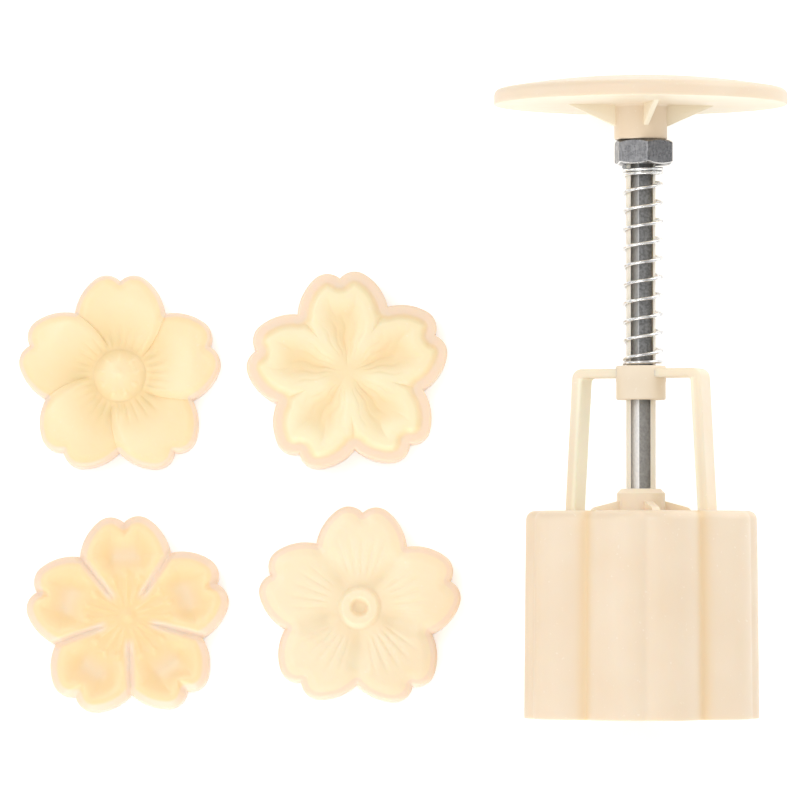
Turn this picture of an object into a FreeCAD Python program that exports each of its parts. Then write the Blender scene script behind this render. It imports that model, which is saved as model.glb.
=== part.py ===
import FreeCAD, Part
import math
import os
from FreeCAD import Vector

# Mooncake press, 50 g size, lying on a table beside its four loose stamps.
# Millimetres. Row frame: X to the right, Y from the barrel's mouth towards the handle, Z up.
# Each piece of the press is modelled upright first, on the press axis: x to the right, y to the back,
# z up from the barrel's mouth at 0 to the handle. laid_down() then puts it on the table.

# Blossom outline that the stamps, the plunger and the barrel share: five petals, each of two round lobes
PETALS = 5
LOBE_RADIUS = 4.6
LOBE_CENTRE_RADIUS = 20.2
LOBE_ANGLE = 9.5
FLANK_RADIUS = 12.5
VALLEY_RADIUS = 18.8
# Petal that points to the front on the press, where the stamps' first one points to the back
FRONT_PETAL = 180.0

# Barrel
BARREL_HEIGHT = 49.7
BARREL_WALL = 3.2
BARREL_DRAFT = 0.5
BARREL_TOP = 2.5
SHOULDER_RADIUS = 2.2
CAVITY_CLEARANCE = 0.4

# Stem, the square steel bar inside it and the window that shows the bar
STEM_RADIUS = 3.55
STEM_INSET = 1.0
BAR_SIDE = 4.0
BAR_ANGLE = 31.0
BAR_CLEARANCE = 0.05
WINDOW_LEFT = 2.5
WINDOW_RIGHT = 2.2
WINDOW_RIGHT_UPPER = 2.9
WINDOW_IN_BOSS = 0.6

# Plunger base: a blossom plate with a ribbed collar above and a bayonet stub below
PLATE_THICKNESS = 2.6
PLATE_GAP = 0.3
STEM_SEAT = 1.7
SEAT_CLEARANCE = 0.05
COLLAR_RADIUS = 5.8
COLLAR_HEIGHT = 8.1
COLLAR_ROUND = 1.1
RIB_REACH = 12.5
RIB_RISE = 5.1
RIB_TIP_RISE = 3.4
RIB_TIP_RADIUS = 1.6
RIB_THICKNESS = 2.0
RIB_ANGLE = 15.0
RIB_HOLE_CLEARANCE = 0.8
STUB_RADIUS = 4.9
STUB_LENGTH = 5.0
EAR_REACH = 6.2
EAR_WIDTH = 2.8
EAR_HEIGHT = 1.8

# Screw up through the plunger base into the foot of the stem
SCREW_RADIUS = 1.25
SCREW_HEAD_RADIUS = 2.6
SCREW_HEAD_HEIGHT = 1.7
SCREW_BITE = 7.0
SCREW_CLEARANCE = 0.25
SCREW_PILOT_CLEARANCE = 0.02
SCREW_RECESS = 4.0
SCREW_SLOT_WIDTH = 0.7
SCREW_SLOT_DEPTH = 0.8

# Guide yoke: two legs, a crossbar and the hub that guides the stem
YOKE_ANGLE = 23.0
YOKE_HEIGHT = 34.1
YOKE_BAR_THICKNESS = 2.2
LEG_THICKNESS = 2.6
LEG_WIDTH = 7.4
LEG_TOP_RADIUS = 15.1
LEG_FOOT_RADIUS = 16.9
LEG_CORNER_RADIUS = 2.4
LEG_INNER_CORNER_RADIUS = 1.0
LEG_EDGE_RADIUS = 0.7
FOOT_SHANK = 1.0
FOOT_CLEARANCE = 0.1
HUB_RADIUS = 6.05
HUB_TOP_RISE = 0.7
HUB_HEIGHT = 8.2
HUB_RING_HEIGHT = 3.7
HUB_RECESS = 0.1
HUB_ROUND = 0.4
HUB_CLEARANCE = 0.08

# Palm handle
HANDLE_RADIUS = 35.25
HANDLE_UNDERSIDE = 147.2
RIM_THICKNESS = 3.8
RIM_ROUND = 1.6
RIM_LOWER_ROUND = 0.4
HANDLE_DOME = 3.0
BOSS_RADIUS = 6.35
BOSS_LENGTH = 8.4
BOSS_ROUND = 0.5
GUSSET_REACH = 18.0
GUSSET_DROP = 5.2
GUSSET_THICKNESS = 1.3
GUSSET_ANGLE = 10.0
BOSS_DEPTH_CLEARANCE = 0.3

# Hexagonal spacer nut, loose on the stem between spring and handle
NUT_SIDES = 6
NUT_ACROSS_FLATS = 13.0
NUT_HEIGHT = 5.9
NUT_ANGLE = 4.0
NUT_SHIFT = 0.7
NUT_STEM_CLEARANCE = 0.1
NUT_CHAMFER_ANGLE = 30.0
NUT_END_GAP = 0.1

# Return spring, closed at both ends
SPRING_WIRE = 0.85
SPRING_RADIUS = 4.6
SPRING_HALF_TURNS = 26
SPRING_CLOSED_TOP = 2.0
SPRING_CLOSED_BOTTOM = 1.0
SPRING_CLOSED_PITCH = 0.92
SPRING_SHIFT = 0.5
SPRING_END_GAP = 0.1

# Stamps: shells with a relief on top and a bayonet socket in the back
STAMP_SKIRT_DEPTH = 5.6
STAMP_FACE_THICKNESS = 2.0
STAMP_WALL = 1.8
STAMP_EDGE_RADIUS = 0.6
SOCKET_CLEARANCE = 0.25
SOCKET_LIP = 2.4
SOCKET_WALL = 1.6
SOCKET_RIB_THICKNESS = 1.2
SOCKET_ENTRY_CLEARANCE = 0.2
EAR_CLEARANCE = 0.3
FLOOR_RELIEF = 0.3

# Reliefs of the four faces
DISH_DEPTH = 0.8
DISH_CAP_RADIUS = 7.0
DISH_CENTRE_RADIUS = 14.6
PINWHEEL_SWEEP_RADIUS = 24.0
PINWHEEL_RIDGE_WIDTH = 1.0
RIDGE_HEIGHT = 0.5
DOME_RADIUS = 6.6
DOME_HEIGHT = 0.9
NUB_RADIUS = 1.0
NUB_HEIGHT = 0.5
FACE_BORDER = 2.3
HEART_RIM = 1.1
HEART_POCKET_DEPTH = 0.7
GROOVE_WIDTH = 1.2
GROOVE_DEPTH = 0.7
GROOVE_START = 4.8
STAMEN_RADIUS = 0.6
STAMEN_REACH = 10.2
STAMEN_ANGLE = 21.0
STAMEN_HEIGHT = 0.5
STAMEN_ROOT = 0.5
BULGE_HEIGHT = 0.8
BULGE_CAP_RADIUS = 8.4
BULGE_CENTRE_RADIUS = 14.0
RING_RADIUS = 5.0
RING_HOLE_RADIUS = 2.0
RING_HEIGHT = 0.6

# Places of the stamps on the table, from the middle of the barrel's mouth, and their turn about Z
PINWHEEL_PLACE = (-126.3, 84.3, -0.3)
HEART_PLACE = (-70.5, 85.0, 5.0)
STAMEN_PLACE = (-124.0, 25.2, 2.7)
RING_PLACE = (-67.7, 27.6, -2.0)

# Heights on the press axis that follow from the sizes above
YOKE_TOP = BARREL_HEIGHT + YOKE_HEIGHT
CAVITY_TOP = BARREL_HEIGHT - BARREL_TOP
PLATE_TOP = CAVITY_TOP - PLATE_GAP
PLATE_BOTTOM = PLATE_TOP - PLATE_THICKNESS
STUB_END = PLATE_BOTTOM - STUB_LENGTH
SEAT_HEIGHT = PLATE_BOTTOM + STEM_SEAT
SCREW_TIP = SEAT_HEIGHT + SCREW_BITE
BAR_BOTTOM = SCREW_TIP + SCREW_CLEARANCE
COLLAR_TOP = PLATE_TOP + COLLAR_HEIGHT
RIB_HOLE_RADIUS = RIB_REACH + RIB_HOLE_CLEARANCE
HUB_TOP = YOKE_TOP + HUB_TOP_RISE
HUB_BOTTOM = HUB_TOP - HUB_HEIGHT
BOSS_BOTTOM = HANDLE_UNDERSIDE - BOSS_LENGTH
STEM_TOP = HANDLE_UNDERSIDE - STEM_INSET
WINDOW_TOP = BOSS_BOTTOM + WINDOW_IN_BOSS
HANDLE_RIM_TOP = HANDLE_UNDERSIDE + RIM_THICKNESS
NUT_TOP = BOSS_BOTTOM - NUT_END_GAP
NUT_BOTTOM = NUT_TOP - NUT_HEIGHT
BARREL_OFFSET = CAVITY_CLEARANCE + BARREL_WALL
FACE_HEIGHT = STAMP_SKIRT_DEPTH + STAMP_FACE_THICKNESS

# Furthest that a point may lie from a plane and still count as on it
ON_PLANE = 1e-4


def at_angle(radius, degrees):
    """Point at a distance from the axis, turned clockwise from the petal that points along +y."""
    turn = math.radians(degrees)
    return Vector(radius * math.sin(turn), radius * math.cos(turn), 0)


def leaves_circle(centre, radius, degrees):
    """Point where the ray from the axis at this angle leaves a circle."""
    ray = at_angle(1.0, degrees)
    along = centre.dot(ray)
    return ray * (along + math.sqrt(radius ** 2 - centre.dot(centre) + along ** 2))


def arc(centre, radius, start, end):
    """The short arc about a centre between two points on its circle."""
    middle = (start + end) * 0.5 - centre
    return Part.Arc(start, centre + middle.normalize() * radius, end).toShape()


def flank_centre():
    """Centre of the flank's circle, which meets the lobe's circle smoothly and runs to the valley."""
    lobe = at_angle(LOBE_CENTRE_RADIUS, LOBE_ANGLE)
    valley = at_angle(VALLEY_RADIUS, 180 / PETALS)
    span = (valley - lobe).Length
    inner = FLANK_RADIUS - LOBE_RADIUS
    along = (inner ** 2 - FLANK_RADIUS ** 2 + span ** 2) / (2 * span)
    across = math.sqrt(inner ** 2 - along ** 2)
    step = (valley - lobe).normalize()
    return lobe + step * along + Vector(step.y, -step.x, 0) * across


def half_petal(offset):
    """Arcs from a petal's notch to the valley beside it, grown by offset, or shrunk if it is negative."""
    lobe = at_angle(LOBE_CENTRE_RADIUS, LOBE_ANGLE)
    flank = flank_centre()
    lobe_radius = LOBE_RADIUS + offset
    flank_radius = FLANK_RADIUS + offset
    joint = lobe + (lobe - flank).normalize() * lobe_radius
    if offset >= 0:
        notch = leaves_circle(lobe, lobe_radius, 0)
        valley = leaves_circle(flank, flank_radius, 180 / PETALS)
        return [arc(lobe, lobe_radius, notch, joint), arc(flank, flank_radius, joint, valley)]
    notch = leaves_circle(lobe, LOBE_RADIUS, 0)
    valley = leaves_circle(flank, FLANK_RADIUS, 180 / PETALS)
    notch_side = lobe + (notch - lobe).normalize() * lobe_radius
    valley_side = flank + (valley - flank).normalize() * flank_radius
    return [
        arc(notch, -offset, at_angle(notch.Length + offset, 0), notch_side),
        arc(lobe, lobe_radius, notch_side, joint),
        arc(flank, flank_radius, joint, valley_side),
        arc(valley, -offset, valley_side, at_angle(valley.Length + offset, 180 / PETALS)),
    ]


def blossom(offset, height=0.0, turn=0.0):
    """Closed wire of the blossom outline, grown outward by offset, with one petal along +y."""
    right = half_petal(offset)
    left = [edge.mirror(Vector(0, 0, 0), Vector(1, 0, 0)) for edge in reversed(right)]
    edges = []
    for number in range(PETALS):
        for edge in left + right:
            copy = edge.copy()
            copy.rotate(Vector(0, 0, 0), Vector(0, 0, 1), turn - number * 360 / PETALS)
            copy.translate(Vector(0, 0, height))
            edges.append(copy)
    return Part.Wire(Part.__sortEdges__(edges))


def blossom_prism(offset, low, high, turn=0.0):
    """Straight blossom-shaped block between two heights."""
    return Part.Face(blossom(offset, low, turn)).extrude(Vector(0, 0, high - low))


def cylinder(radius, low, high):
    """Round block on the z axis between two heights."""
    return Part.makeCylinder(radius, high - low, Vector(0, 0, low))


def block(x_low, x_high, y_low, y_high, low, high):
    """Rectangular block between the given limits."""
    corner = Vector(x_low, y_low, low)
    return Part.makeBox(x_high - x_low, y_high - y_low, high - low, corner)


def turned(shape, degrees):
    """Copy of a shape turned about the z axis, anticlockwise seen from above."""
    copy = shape.copy()
    copy.rotate(Vector(0, 0, 0), Vector(0, 0, 1), degrees)
    return copy


def moved(shape, x=0.0, y=0.0, z=0.0):
    """Copy of a shape moved by the given steps."""
    copy = shape.copy()
    copy.translate(Vector(x, y, z))
    return copy


def revolved(points):
    """Solid of revolution about the z axis from a closed profile of (radius, height) points."""
    corners = [Vector(radius, 0, height) for radius, height in points]
    profile = Part.Face(Part.makePolygon(corners + corners[:1]))
    return profile.revolve(Vector(0, 0, 0), Vector(0, 0, 1), 360)


def rib(points, thickness):
    """Flat rib in the xz plane from (x, z) points, centred on y = 0."""
    corners = [Vector(x, -thickness / 2, z) for x, z in points]
    face = Part.Face(Part.makePolygon(corners + corners[:1]))
    return face.extrude(Vector(0, thickness, 0))


def level_edges(shape, height):
    """Edges that lie flat at one height."""
    found = []
    for edge in shape.Edges:
        box = edge.BoundBox
        if abs(box.ZMin - height) < ON_PLANE and abs(box.ZMax - height) < ON_PLANE:
            found.append(edge)
    return found


def cross_edges(shape, height, beyond):
    """Level edges along y that lie at one height, further from the middle than the given x."""
    found = []
    for edge in level_edges(shape, height):
        middle = edge.CenterOfMass
        if abs(middle.y) < ON_PLANE and abs(middle.x) > beyond:
            found.append(edge)
    return found


def side_edges(shape, y, above):
    """Edges in the planes at plus and minus y whose middle lies above a height."""
    found = []
    for edge in shape.Edges:
        box = edge.BoundBox
        flat = abs(box.YMax - box.YMin) < ON_PLANE
        if flat and abs(abs(edge.CenterOfMass.y) - y) < ON_PLANE and edge.CenterOfMass.z > above:
            found.append(edge)
    return found


def barrel():
    """Blossom-shaped barrel, open at the mouth, with a top plate for the yoke's feet and the plunger."""
    outer = Part.makeLoft(
        [
            blossom(BARREL_OFFSET, 0, FRONT_PETAL),
            blossom(BARREL_OFFSET - BARREL_DRAFT, BARREL_HEIGHT, FRONT_PETAL),
        ],
        True,
        True,
    )
    outer = outer.makeFillet(SHOULDER_RADIUS, level_edges(outer, BARREL_HEIGHT))
    cavity = blossom_prism(CAVITY_CLEARANCE, 0, CAVITY_TOP, FRONT_PETAL)
    shell = outer.cut(cavity)
    shell = shell.cut(cylinder(RIB_HOLE_RADIUS, CAVITY_TOP, BARREL_HEIGHT))
    reach = LEG_THICKNESS / 2 + FOOT_CLEARANCE
    half = LEG_WIDTH / 2 + FOOT_CLEARANCE
    for side in (1, -1):
        middle = side * LEG_FOOT_RADIUS
        slot = block(middle - reach, middle + reach, -half, half, CAVITY_TOP, BARREL_HEIGHT)
        shell = shell.cut(turned(slot, -YOKE_ANGLE))
    return shell


def guide_yoke():
    """Two flaring legs and a crossbar in one strap, with the hub that guides the stem."""
    half = LEG_THICKNESS / 2
    foot = CAVITY_TOP + FOOT_CLEARANCE
    shank = BARREL_HEIGHT + FOOT_SHANK
    under_bar = YOKE_TOP - YOKE_BAR_THICKNESS
    right = [
        (LEG_TOP_RADIUS - half, under_bar),
        (LEG_FOOT_RADIUS - half, shank),
        (LEG_FOOT_RADIUS - half, foot),
        (LEG_FOOT_RADIUS + half, foot),
        (LEG_FOOT_RADIUS + half, shank),
        (LEG_TOP_RADIUS + half, YOKE_TOP),
    ]
    left = [(-x, z) for x, z in reversed(right)]
    strap = rib(right + left, LEG_WIDTH)
    strap = strap.makeFillet(LEG_CORNER_RADIUS, cross_edges(strap, YOKE_TOP, HUB_RADIUS))
    strap = strap.makeFillet(LEG_INNER_CORNER_RADIUS, cross_edges(strap, under_bar, HUB_RADIUS))
    strap = strap.makeFillet(LEG_EDGE_RADIUS, side_edges(strap, LEG_WIDTH / 2, shank))
    hub = cylinder(HUB_RADIUS, HUB_TOP - HUB_RING_HEIGHT, HUB_TOP)
    hub = hub.makeFillet(HUB_ROUND, level_edges(hub, HUB_TOP))
    drum = cylinder(HUB_RADIUS - HUB_RECESS, HUB_BOTTOM, HUB_TOP - HUB_RING_HEIGHT)
    drum = drum.makeFillet(HUB_ROUND, level_edges(drum, HUB_BOTTOM))
    yoke = strap.fuse(hub).fuse(drum)
    yoke = yoke.cut(cylinder(STEM_RADIUS + HUB_CLEARANCE, HUB_BOTTOM, HUB_TOP))
    return turned(yoke.removeSplitter(), -YOKE_ANGLE)


def stub_ears(reach, width, low, high):
    """The bar shape whose two ends are the bayonet's ears."""
    return block(-reach, reach, -width / 2, width / 2, low, high).common(cylinder(reach, low, high))


def plunger_base():
    """Blossom plate that slides in the barrel, with the stem's ribbed collar and the stamps' stub."""
    plate = blossom_prism(0, PLATE_BOTTOM, PLATE_TOP, FRONT_PETAL)
    collar = cylinder(COLLAR_RADIUS, PLATE_TOP, COLLAR_TOP)
    collar = collar.makeChamfer(COLLAR_ROUND, level_edges(collar, COLLAR_TOP))
    profile = [
        (0, PLATE_TOP),
        (RIB_REACH, PLATE_TOP),
        (RIB_REACH, PLATE_TOP + RIB_TIP_RISE),
        (COLLAR_RADIUS, PLATE_TOP + RIB_RISE),
        (0, PLATE_TOP + RIB_RISE),
    ]
    base = plate.fuse(collar)
    arm = rib(profile, RIB_THICKNESS)
    arm = arm.makeFillet(RIB_TIP_RADIUS, cross_edges(arm, PLATE_TOP + RIB_TIP_RISE, COLLAR_RADIUS))
    for quarter in range(4):
        base = base.fuse(turned(arm, quarter * 90 + RIB_ANGLE))
    base = base.fuse(cylinder(STUB_RADIUS, STUB_END, PLATE_BOTTOM))
    base = base.fuse(stub_ears(EAR_REACH, EAR_WIDTH, STUB_END, STUB_END + EAR_HEIGHT))
    base = base.cut(cylinder(STEM_RADIUS + SEAT_CLEARANCE, SEAT_HEIGHT, COLLAR_TOP))
    base = base.cut(cylinder(SCREW_RADIUS + SCREW_CLEARANCE, STUB_END, SEAT_HEIGHT))
    base = base.cut(cylinder(SCREW_HEAD_RADIUS + SCREW_CLEARANCE, STUB_END, STUB_END + SCREW_RECESS))
    return base.removeSplitter()


def base_screw():
    """Slotted screw that clamps the plunger base to the stem."""
    head_top = STUB_END + SCREW_RECESS
    head = cylinder(SCREW_HEAD_RADIUS, head_top - SCREW_HEAD_HEIGHT, head_top)
    slot = block(
        -SCREW_HEAD_RADIUS,
        SCREW_HEAD_RADIUS,
        -SCREW_SLOT_WIDTH / 2,
        SCREW_SLOT_WIDTH / 2,
        head_top - SCREW_HEAD_HEIGHT,
        head_top - SCREW_HEAD_HEIGHT + SCREW_SLOT_DEPTH,
    )
    return head.cut(slot).fuse(cylinder(SCREW_RADIUS, head_top, SCREW_TIP)).removeSplitter()


def square_bar(side, low, high):
    """Square block on the axis, turned so that its wide face looks forward and to the right."""
    half = side / 2
    return turned(block(-half, half, -half, half, low, high), BAR_ANGLE)


def plunger_stem():
    """Round stem with a square bore for the steel bar and a front window that narrows below the hub."""
    stem = cylinder(STEM_RADIUS, SEAT_HEIGHT, STEM_TOP)
    stem = stem.cut(square_bar(BAR_SIDE + 2 * BAR_CLEARANCE, BAR_BOTTOM, STEM_TOP))
    change = HUB_TOP - HUB_RING_HEIGHT
    lower = block(-WINDOW_LEFT, WINDOW_RIGHT, -STEM_RADIUS, 0, COLLAR_TOP, change)
    upper = block(-WINDOW_LEFT, WINDOW_RIGHT_UPPER, -STEM_RADIUS, 0, change, WINDOW_TOP)
    stem = stem.cut(lower).cut(upper)
    pilot = cylinder(SCREW_RADIUS + SCREW_PILOT_CLEARANCE, SEAT_HEIGHT, BAR_BOTTOM)
    return stem.cut(pilot)


def steel_bar():
    """Square steel bar that stiffens the stem."""
    return square_bar(BAR_SIDE, BAR_BOTTOM + BAR_CLEARANCE, STEM_TOP)


def palm_handle():
    """Domed round palm rest with a boss for the stem and four gussets."""
    edge = HANDLE_RADIUS - RIM_ROUND
    sagitta = HANDLE_DOME
    dome_radius = (edge ** 2 + sagitta ** 2) / (2 * sagitta)
    disc = cylinder(HANDLE_RADIUS, HANDLE_UNDERSIDE, HANDLE_RIM_TOP)
    disc = disc.makeFillet(RIM_ROUND, level_edges(disc, HANDLE_RIM_TOP))
    disc = disc.makeFillet(RIM_LOWER_ROUND, level_edges(disc, HANDLE_UNDERSIDE))
    ball = Part.makeSphere(dome_radius, Vector(0, 0, HANDLE_RIM_TOP + sagitta - dome_radius))
    dome = ball.common(cylinder(edge, HANDLE_RIM_TOP, HANDLE_RIM_TOP + sagitta))
    boss = cylinder(BOSS_RADIUS, BOSS_BOTTOM, HANDLE_UNDERSIDE)
    boss = boss.makeFillet(BOSS_ROUND, level_edges(boss, BOSS_BOTTOM))
    profile = [
        (0, HANDLE_UNDERSIDE),
        (0, HANDLE_UNDERSIDE - GUSSET_DROP),
        (BOSS_RADIUS, HANDLE_UNDERSIDE - GUSSET_DROP),
        (GUSSET_REACH, HANDLE_UNDERSIDE),
    ]
    handle = disc.fuse(dome).fuse(boss)
    for quarter in range(4):
        handle = handle.fuse(turned(rib(profile, GUSSET_THICKNESS), quarter * 90 + GUSSET_ANGLE))
    seat = cylinder(STEM_RADIUS + SEAT_CLEARANCE, BOSS_BOTTOM, STEM_TOP + BOSS_DEPTH_CLEARANCE)
    return handle.cut(seat).removeSplitter()


def spacer_nut():
    """Plain-bored hexagon, chamfered at both ends, hanging to one side of the stem."""
    flat = NUT_ACROSS_FLATS / 2
    corner = flat / math.cos(math.pi / NUT_SIDES)
    points = []
    for number in range(NUT_SIDES + 1):
        turn = math.radians(number * 360 / NUT_SIDES + NUT_ANGLE)
        points.append(Vector(corner * math.sin(turn), -corner * math.cos(turn), NUT_BOTTOM))
    hexagon = Part.Face(Part.makePolygon(points)).extrude(Vector(0, 0, NUT_HEIGHT))
    drop = (corner - flat) * math.tan(math.radians(NUT_CHAMFER_ANGLE))
    turning = revolved(
        [
            (0, NUT_BOTTOM),
            (flat, NUT_BOTTOM),
            (corner, NUT_BOTTOM + drop),
            (corner, NUT_TOP - drop),
            (flat, NUT_TOP),
            (0, NUT_TOP),
        ]
    )
    bore = STEM_RADIUS + NUT_SHIFT + NUT_STEM_CLEARANCE
    nut = hexagon.common(turning).cut(cylinder(bore, NUT_BOTTOM, NUT_TOP))
    return moved(nut, x=NUT_SHIFT)


def spring_height(turn, low, high):
    """Height of the wire's centre after a number of turns: closed coils at the ends, open between."""
    total = SPRING_HALF_TURNS / 2
    closed = SPRING_CLOSED_PITCH * (SPRING_CLOSED_BOTTOM + SPRING_CLOSED_TOP)
    open_turns = total - SPRING_CLOSED_BOTTOM - SPRING_CLOSED_TOP
    open_pitch = (high - low - closed) / open_turns
    opened = min(max(turn - SPRING_CLOSED_BOTTOM, 0), open_turns)
    return low + SPRING_CLOSED_PITCH * (turn - opened) + open_pitch * opened


def return_spring():
    """Right-handed compression spring between the yoke's hub and the spacer nut.

    Each half turn is half a ring whose plane rises with the pitch, so the halves meet tangent to y.
    """
    low = HUB_TOP + SPRING_END_GAP + SPRING_WIRE / 2
    high = NUT_BOTTOM - SPRING_END_GAP - SPRING_WIRE / 2
    halves = []
    for number in range(SPRING_HALF_TURNS):
        side = -1 if number % 2 == 0 else 1
        start = Vector(side * SPRING_RADIUS, 0, spring_height(number / 2, low, high))
        end = Vector(-side * SPRING_RADIUS, 0, spring_height((number + 1) / 2, low, high))
        along = Vector(0, side, 0)
        centre = (start + end) * 0.5
        section = Part.Face(Part.Wire([Part.Circle(start, along, SPRING_WIRE / 2).toShape()]))
        halves.append(section.revolve(centre, (start - centre).cross(along), 180))
    coil = halves[0].multiFuse(halves[1:]).removeSplitter()
    return moved(coil, x=SPRING_SHIFT)


def socket_solid(hollow_top):
    """Hub and ribs that hold the bayonet socket in a stamp's back."""
    hub_radius = EAR_REACH + EAR_CLEARANCE + SOCKET_WALL
    hub = cylinder(hub_radius, FLOOR_RELIEF, hollow_top)
    reach = VALLEY_RADIUS
    bar = block(-reach, reach, -SOCKET_RIB_THICKNESS / 2, SOCKET_RIB_THICKNESS / 2, FLOOR_RELIEF, hollow_top)
    for number in range(PETALS):
        arm = bar.common(block(0, reach, -reach, reach, FLOOR_RELIEF, hollow_top))
        hub = hub.fuse(turned(arm, 90 + 180 / PETALS + number * 360 / PETALS))
    return hub


def stamp_blank():
    """Blossom shell, face up, with the socket that takes the plunger's stub."""
    body = blossom_prism(0, 0, FACE_HEIGHT)
    body = body.cut(blossom_prism(-STAMP_WALL, 0, STAMP_SKIRT_DEPTH))
    body = body.fuse(socket_solid(STAMP_SKIRT_DEPTH))
    bore = STUB_RADIUS + SOCKET_CLEARANCE
    entry = EAR_REACH + EAR_CLEARANCE
    lip_top = FLOOR_RELIEF + SOCKET_LIP
    body = body.cut(cylinder(bore, FLOOR_RELIEF, STAMP_SKIRT_DEPTH))
    width = EAR_WIDTH + 2 * SOCKET_ENTRY_CLEARANCE
    body = body.cut(stub_ears(entry, width, FLOOR_RELIEF, lip_top))
    body = body.cut(cylinder(entry, lip_top, STAMP_SKIRT_DEPTH))
    return body.removeSplitter()


def cap_ball(cap_radius, height, level, sign):
    """Ball that stands above a level by height over a round patch, or dips below it if sign is -1."""
    ball = (cap_radius ** 2 + height ** 2) / (2 * height)
    return Part.makeSphere(ball, Vector(0, 0, level + sign * (height - ball)))


def dished(body, cap_radius, depth, at_radius):
    """Cuts one shallow round dish into each petal of a stamp's face."""
    ball = cap_ball(cap_radius, depth, FACE_HEIGHT, -1)
    for number in range(PETALS):
        spot = at_angle(at_radius, number * 360 / PETALS)
        body = body.cut(moved(ball, spot.x, spot.y))
    return body


def pinwheel_stamp():
    """Stamp whose dished petals overlap like a pinwheel around a low dome.

    The ridges are arcs from the middle that end in the valleys.
    """
    body = dished(stamp_blank(), DISH_CAP_RADIUS, DISH_DEPTH, DISH_CENTRE_RADIUS)
    lean = math.degrees(math.asin(VALLEY_RADIUS / (2 * PINWHEEL_SWEEP_RADIUS)))
    low = FACE_HEIGHT - DISH_DEPTH
    top = FACE_HEIGHT + RIDGE_HEIGHT
    inside = blossom_prism(-STAMP_EDGE_RADIUS, low, top)
    sweep = cylinder(PINWHEEL_SWEEP_RADIUS + PINWHEEL_RIDGE_WIDTH, low, top)
    sweep = sweep.cut(cylinder(PINWHEEL_SWEEP_RADIUS, low, top))
    ridge = moved(sweep, x=-PINWHEEL_SWEEP_RADIUS).common(inside)
    reach = LOBE_CENTRE_RADIUS
    ridge = ridge.common(block(-reach, reach, DOME_RADIUS / 2, reach, low, top))
    for number in range(PETALS):
        body = body.fuse(turned(ridge, (number + 0.5) * 360 / PETALS - lean))
    dome = cap_ball(DOME_RADIUS, DOME_HEIGHT, FACE_HEIGHT, 1)
    dome = dome.common(cylinder(DOME_RADIUS, low, FACE_HEIGHT + DOME_HEIGHT))
    nub_top = FACE_HEIGHT + DOME_HEIGHT + NUB_HEIGHT
    nub = Part.makeSphere(NUB_RADIUS, Vector(0, 0, nub_top - NUB_RADIUS))
    return body.fuse(dome).fuse(nub)


def heart_stamp():
    """Stamp with a plain border, a raised heart-shaped rim around each petal and a dish inside it."""
    body = stamp_blank()
    floor = FACE_HEIGHT - HEART_POCKET_DEPTH
    body = body.cut(blossom_prism(-FACE_BORDER, floor, FACE_HEIGHT))
    top = FACE_HEIGHT + RIDGE_HEIGHT
    rim = blossom_prism(-FACE_BORDER, floor, top)
    rim = rim.cut(blossom_prism(-FACE_BORDER - HEART_RIM, floor, top))
    body = body.fuse(rim)
    spoke = block(-HEART_RIM / 2, HEART_RIM / 2, 0, VALLEY_RADIUS - FACE_BORDER, floor, top)
    for number in range(PETALS):
        body = body.fuse(turned(spoke, (number + 0.5) * 360 / PETALS))
    return body


def stamen_stamp():
    """Stamp with grooves between its petals and three dotted stamens on each."""
    body = dished(stamp_blank(), DISH_CAP_RADIUS, DISH_DEPTH, DISH_CENTRE_RADIUS)
    floor = FACE_HEIGHT - GROOVE_DEPTH
    past_valley = LOBE_CENTRE_RADIUS
    groove = block(-GROOVE_WIDTH / 2, GROOVE_WIDTH / 2, GROOVE_START, past_valley, floor, FACE_HEIGHT)
    low = FACE_HEIGHT - DISH_DEPTH
    dot = cylinder(STAMEN_RADIUS, low - STAMEN_ROOT, FACE_HEIGHT + STAMEN_HEIGHT)
    for number in range(PETALS):
        middle = number * 360 / PETALS
        body = body.cut(turned(groove, middle + 180 / PETALS))
        for side in (-1, 0, 1):
            spot = at_angle(STAMEN_REACH, middle + side * STAMEN_ANGLE)
            body = body.fuse(moved(dot, spot.x, spot.y))
    return body.fuse(cylinder(NUB_RADIUS, low, FACE_HEIGHT + STAMEN_HEIGHT))


def ring_stamp():
    """Stamp with five smooth bulging petals around a small raised ring."""
    body = stamp_blank()
    ball = cap_ball(BULGE_CAP_RADIUS, BULGE_HEIGHT, FACE_HEIGHT, 1)
    layer = blossom_prism(-STAMP_EDGE_RADIUS, FACE_HEIGHT - DISH_DEPTH, FACE_HEIGHT + BULGE_HEIGHT)
    for number in range(PETALS):
        spot = at_angle(BULGE_CENTRE_RADIUS, number * 360 / PETALS)
        body = body.fuse(moved(ball, spot.x, spot.y).common(layer))
    top = FACE_HEIGHT + BULGE_HEIGHT + RING_HEIGHT
    body = body.fuse(cylinder(RING_RADIUS, FACE_HEIGHT, top))
    return body.cut(cylinder(RING_HOLE_RADIUS, FACE_HEIGHT, top))


def lying_tilt():
    """Angle by which the press axis rises to the handle when barrel and handle rim both touch the table."""
    reach = HANDLE_RADIUS - RIM_LOWER_ROUND - resting_depth()
    height = HANDLE_UNDERSIDE + RIM_LOWER_ROUND
    return math.atan2(reach, height) + math.asin(RIM_LOWER_ROUND / math.hypot(height, reach))


def resting_depth():
    """Distance from the press axis to the table side of the barrel's two lower petals, at the mouth."""
    lobe = at_angle(LOBE_CENTRE_RADIUS, 180 / PETALS - LOBE_ANGLE)
    return lobe.y + LOBE_RADIUS + BARREL_OFFSET


def laid_down(shape):
    """Copy of an upright press piece, turned onto its side and resting on the table."""
    tilt = lying_tilt()
    copy = shape.copy()
    copy.rotate(Vector(0, 0, 0), Vector(1, 0, 0), math.degrees(tilt) - 90)
    copy.translate(Vector(0, 0, resting_depth() * math.cos(tilt)))
    return copy


def set_down(shape, place):
    """Copy of a stamp turned and moved to its place on the table."""
    x, y, turn = place
    return moved(turned(shape, turn), x, y)


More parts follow.
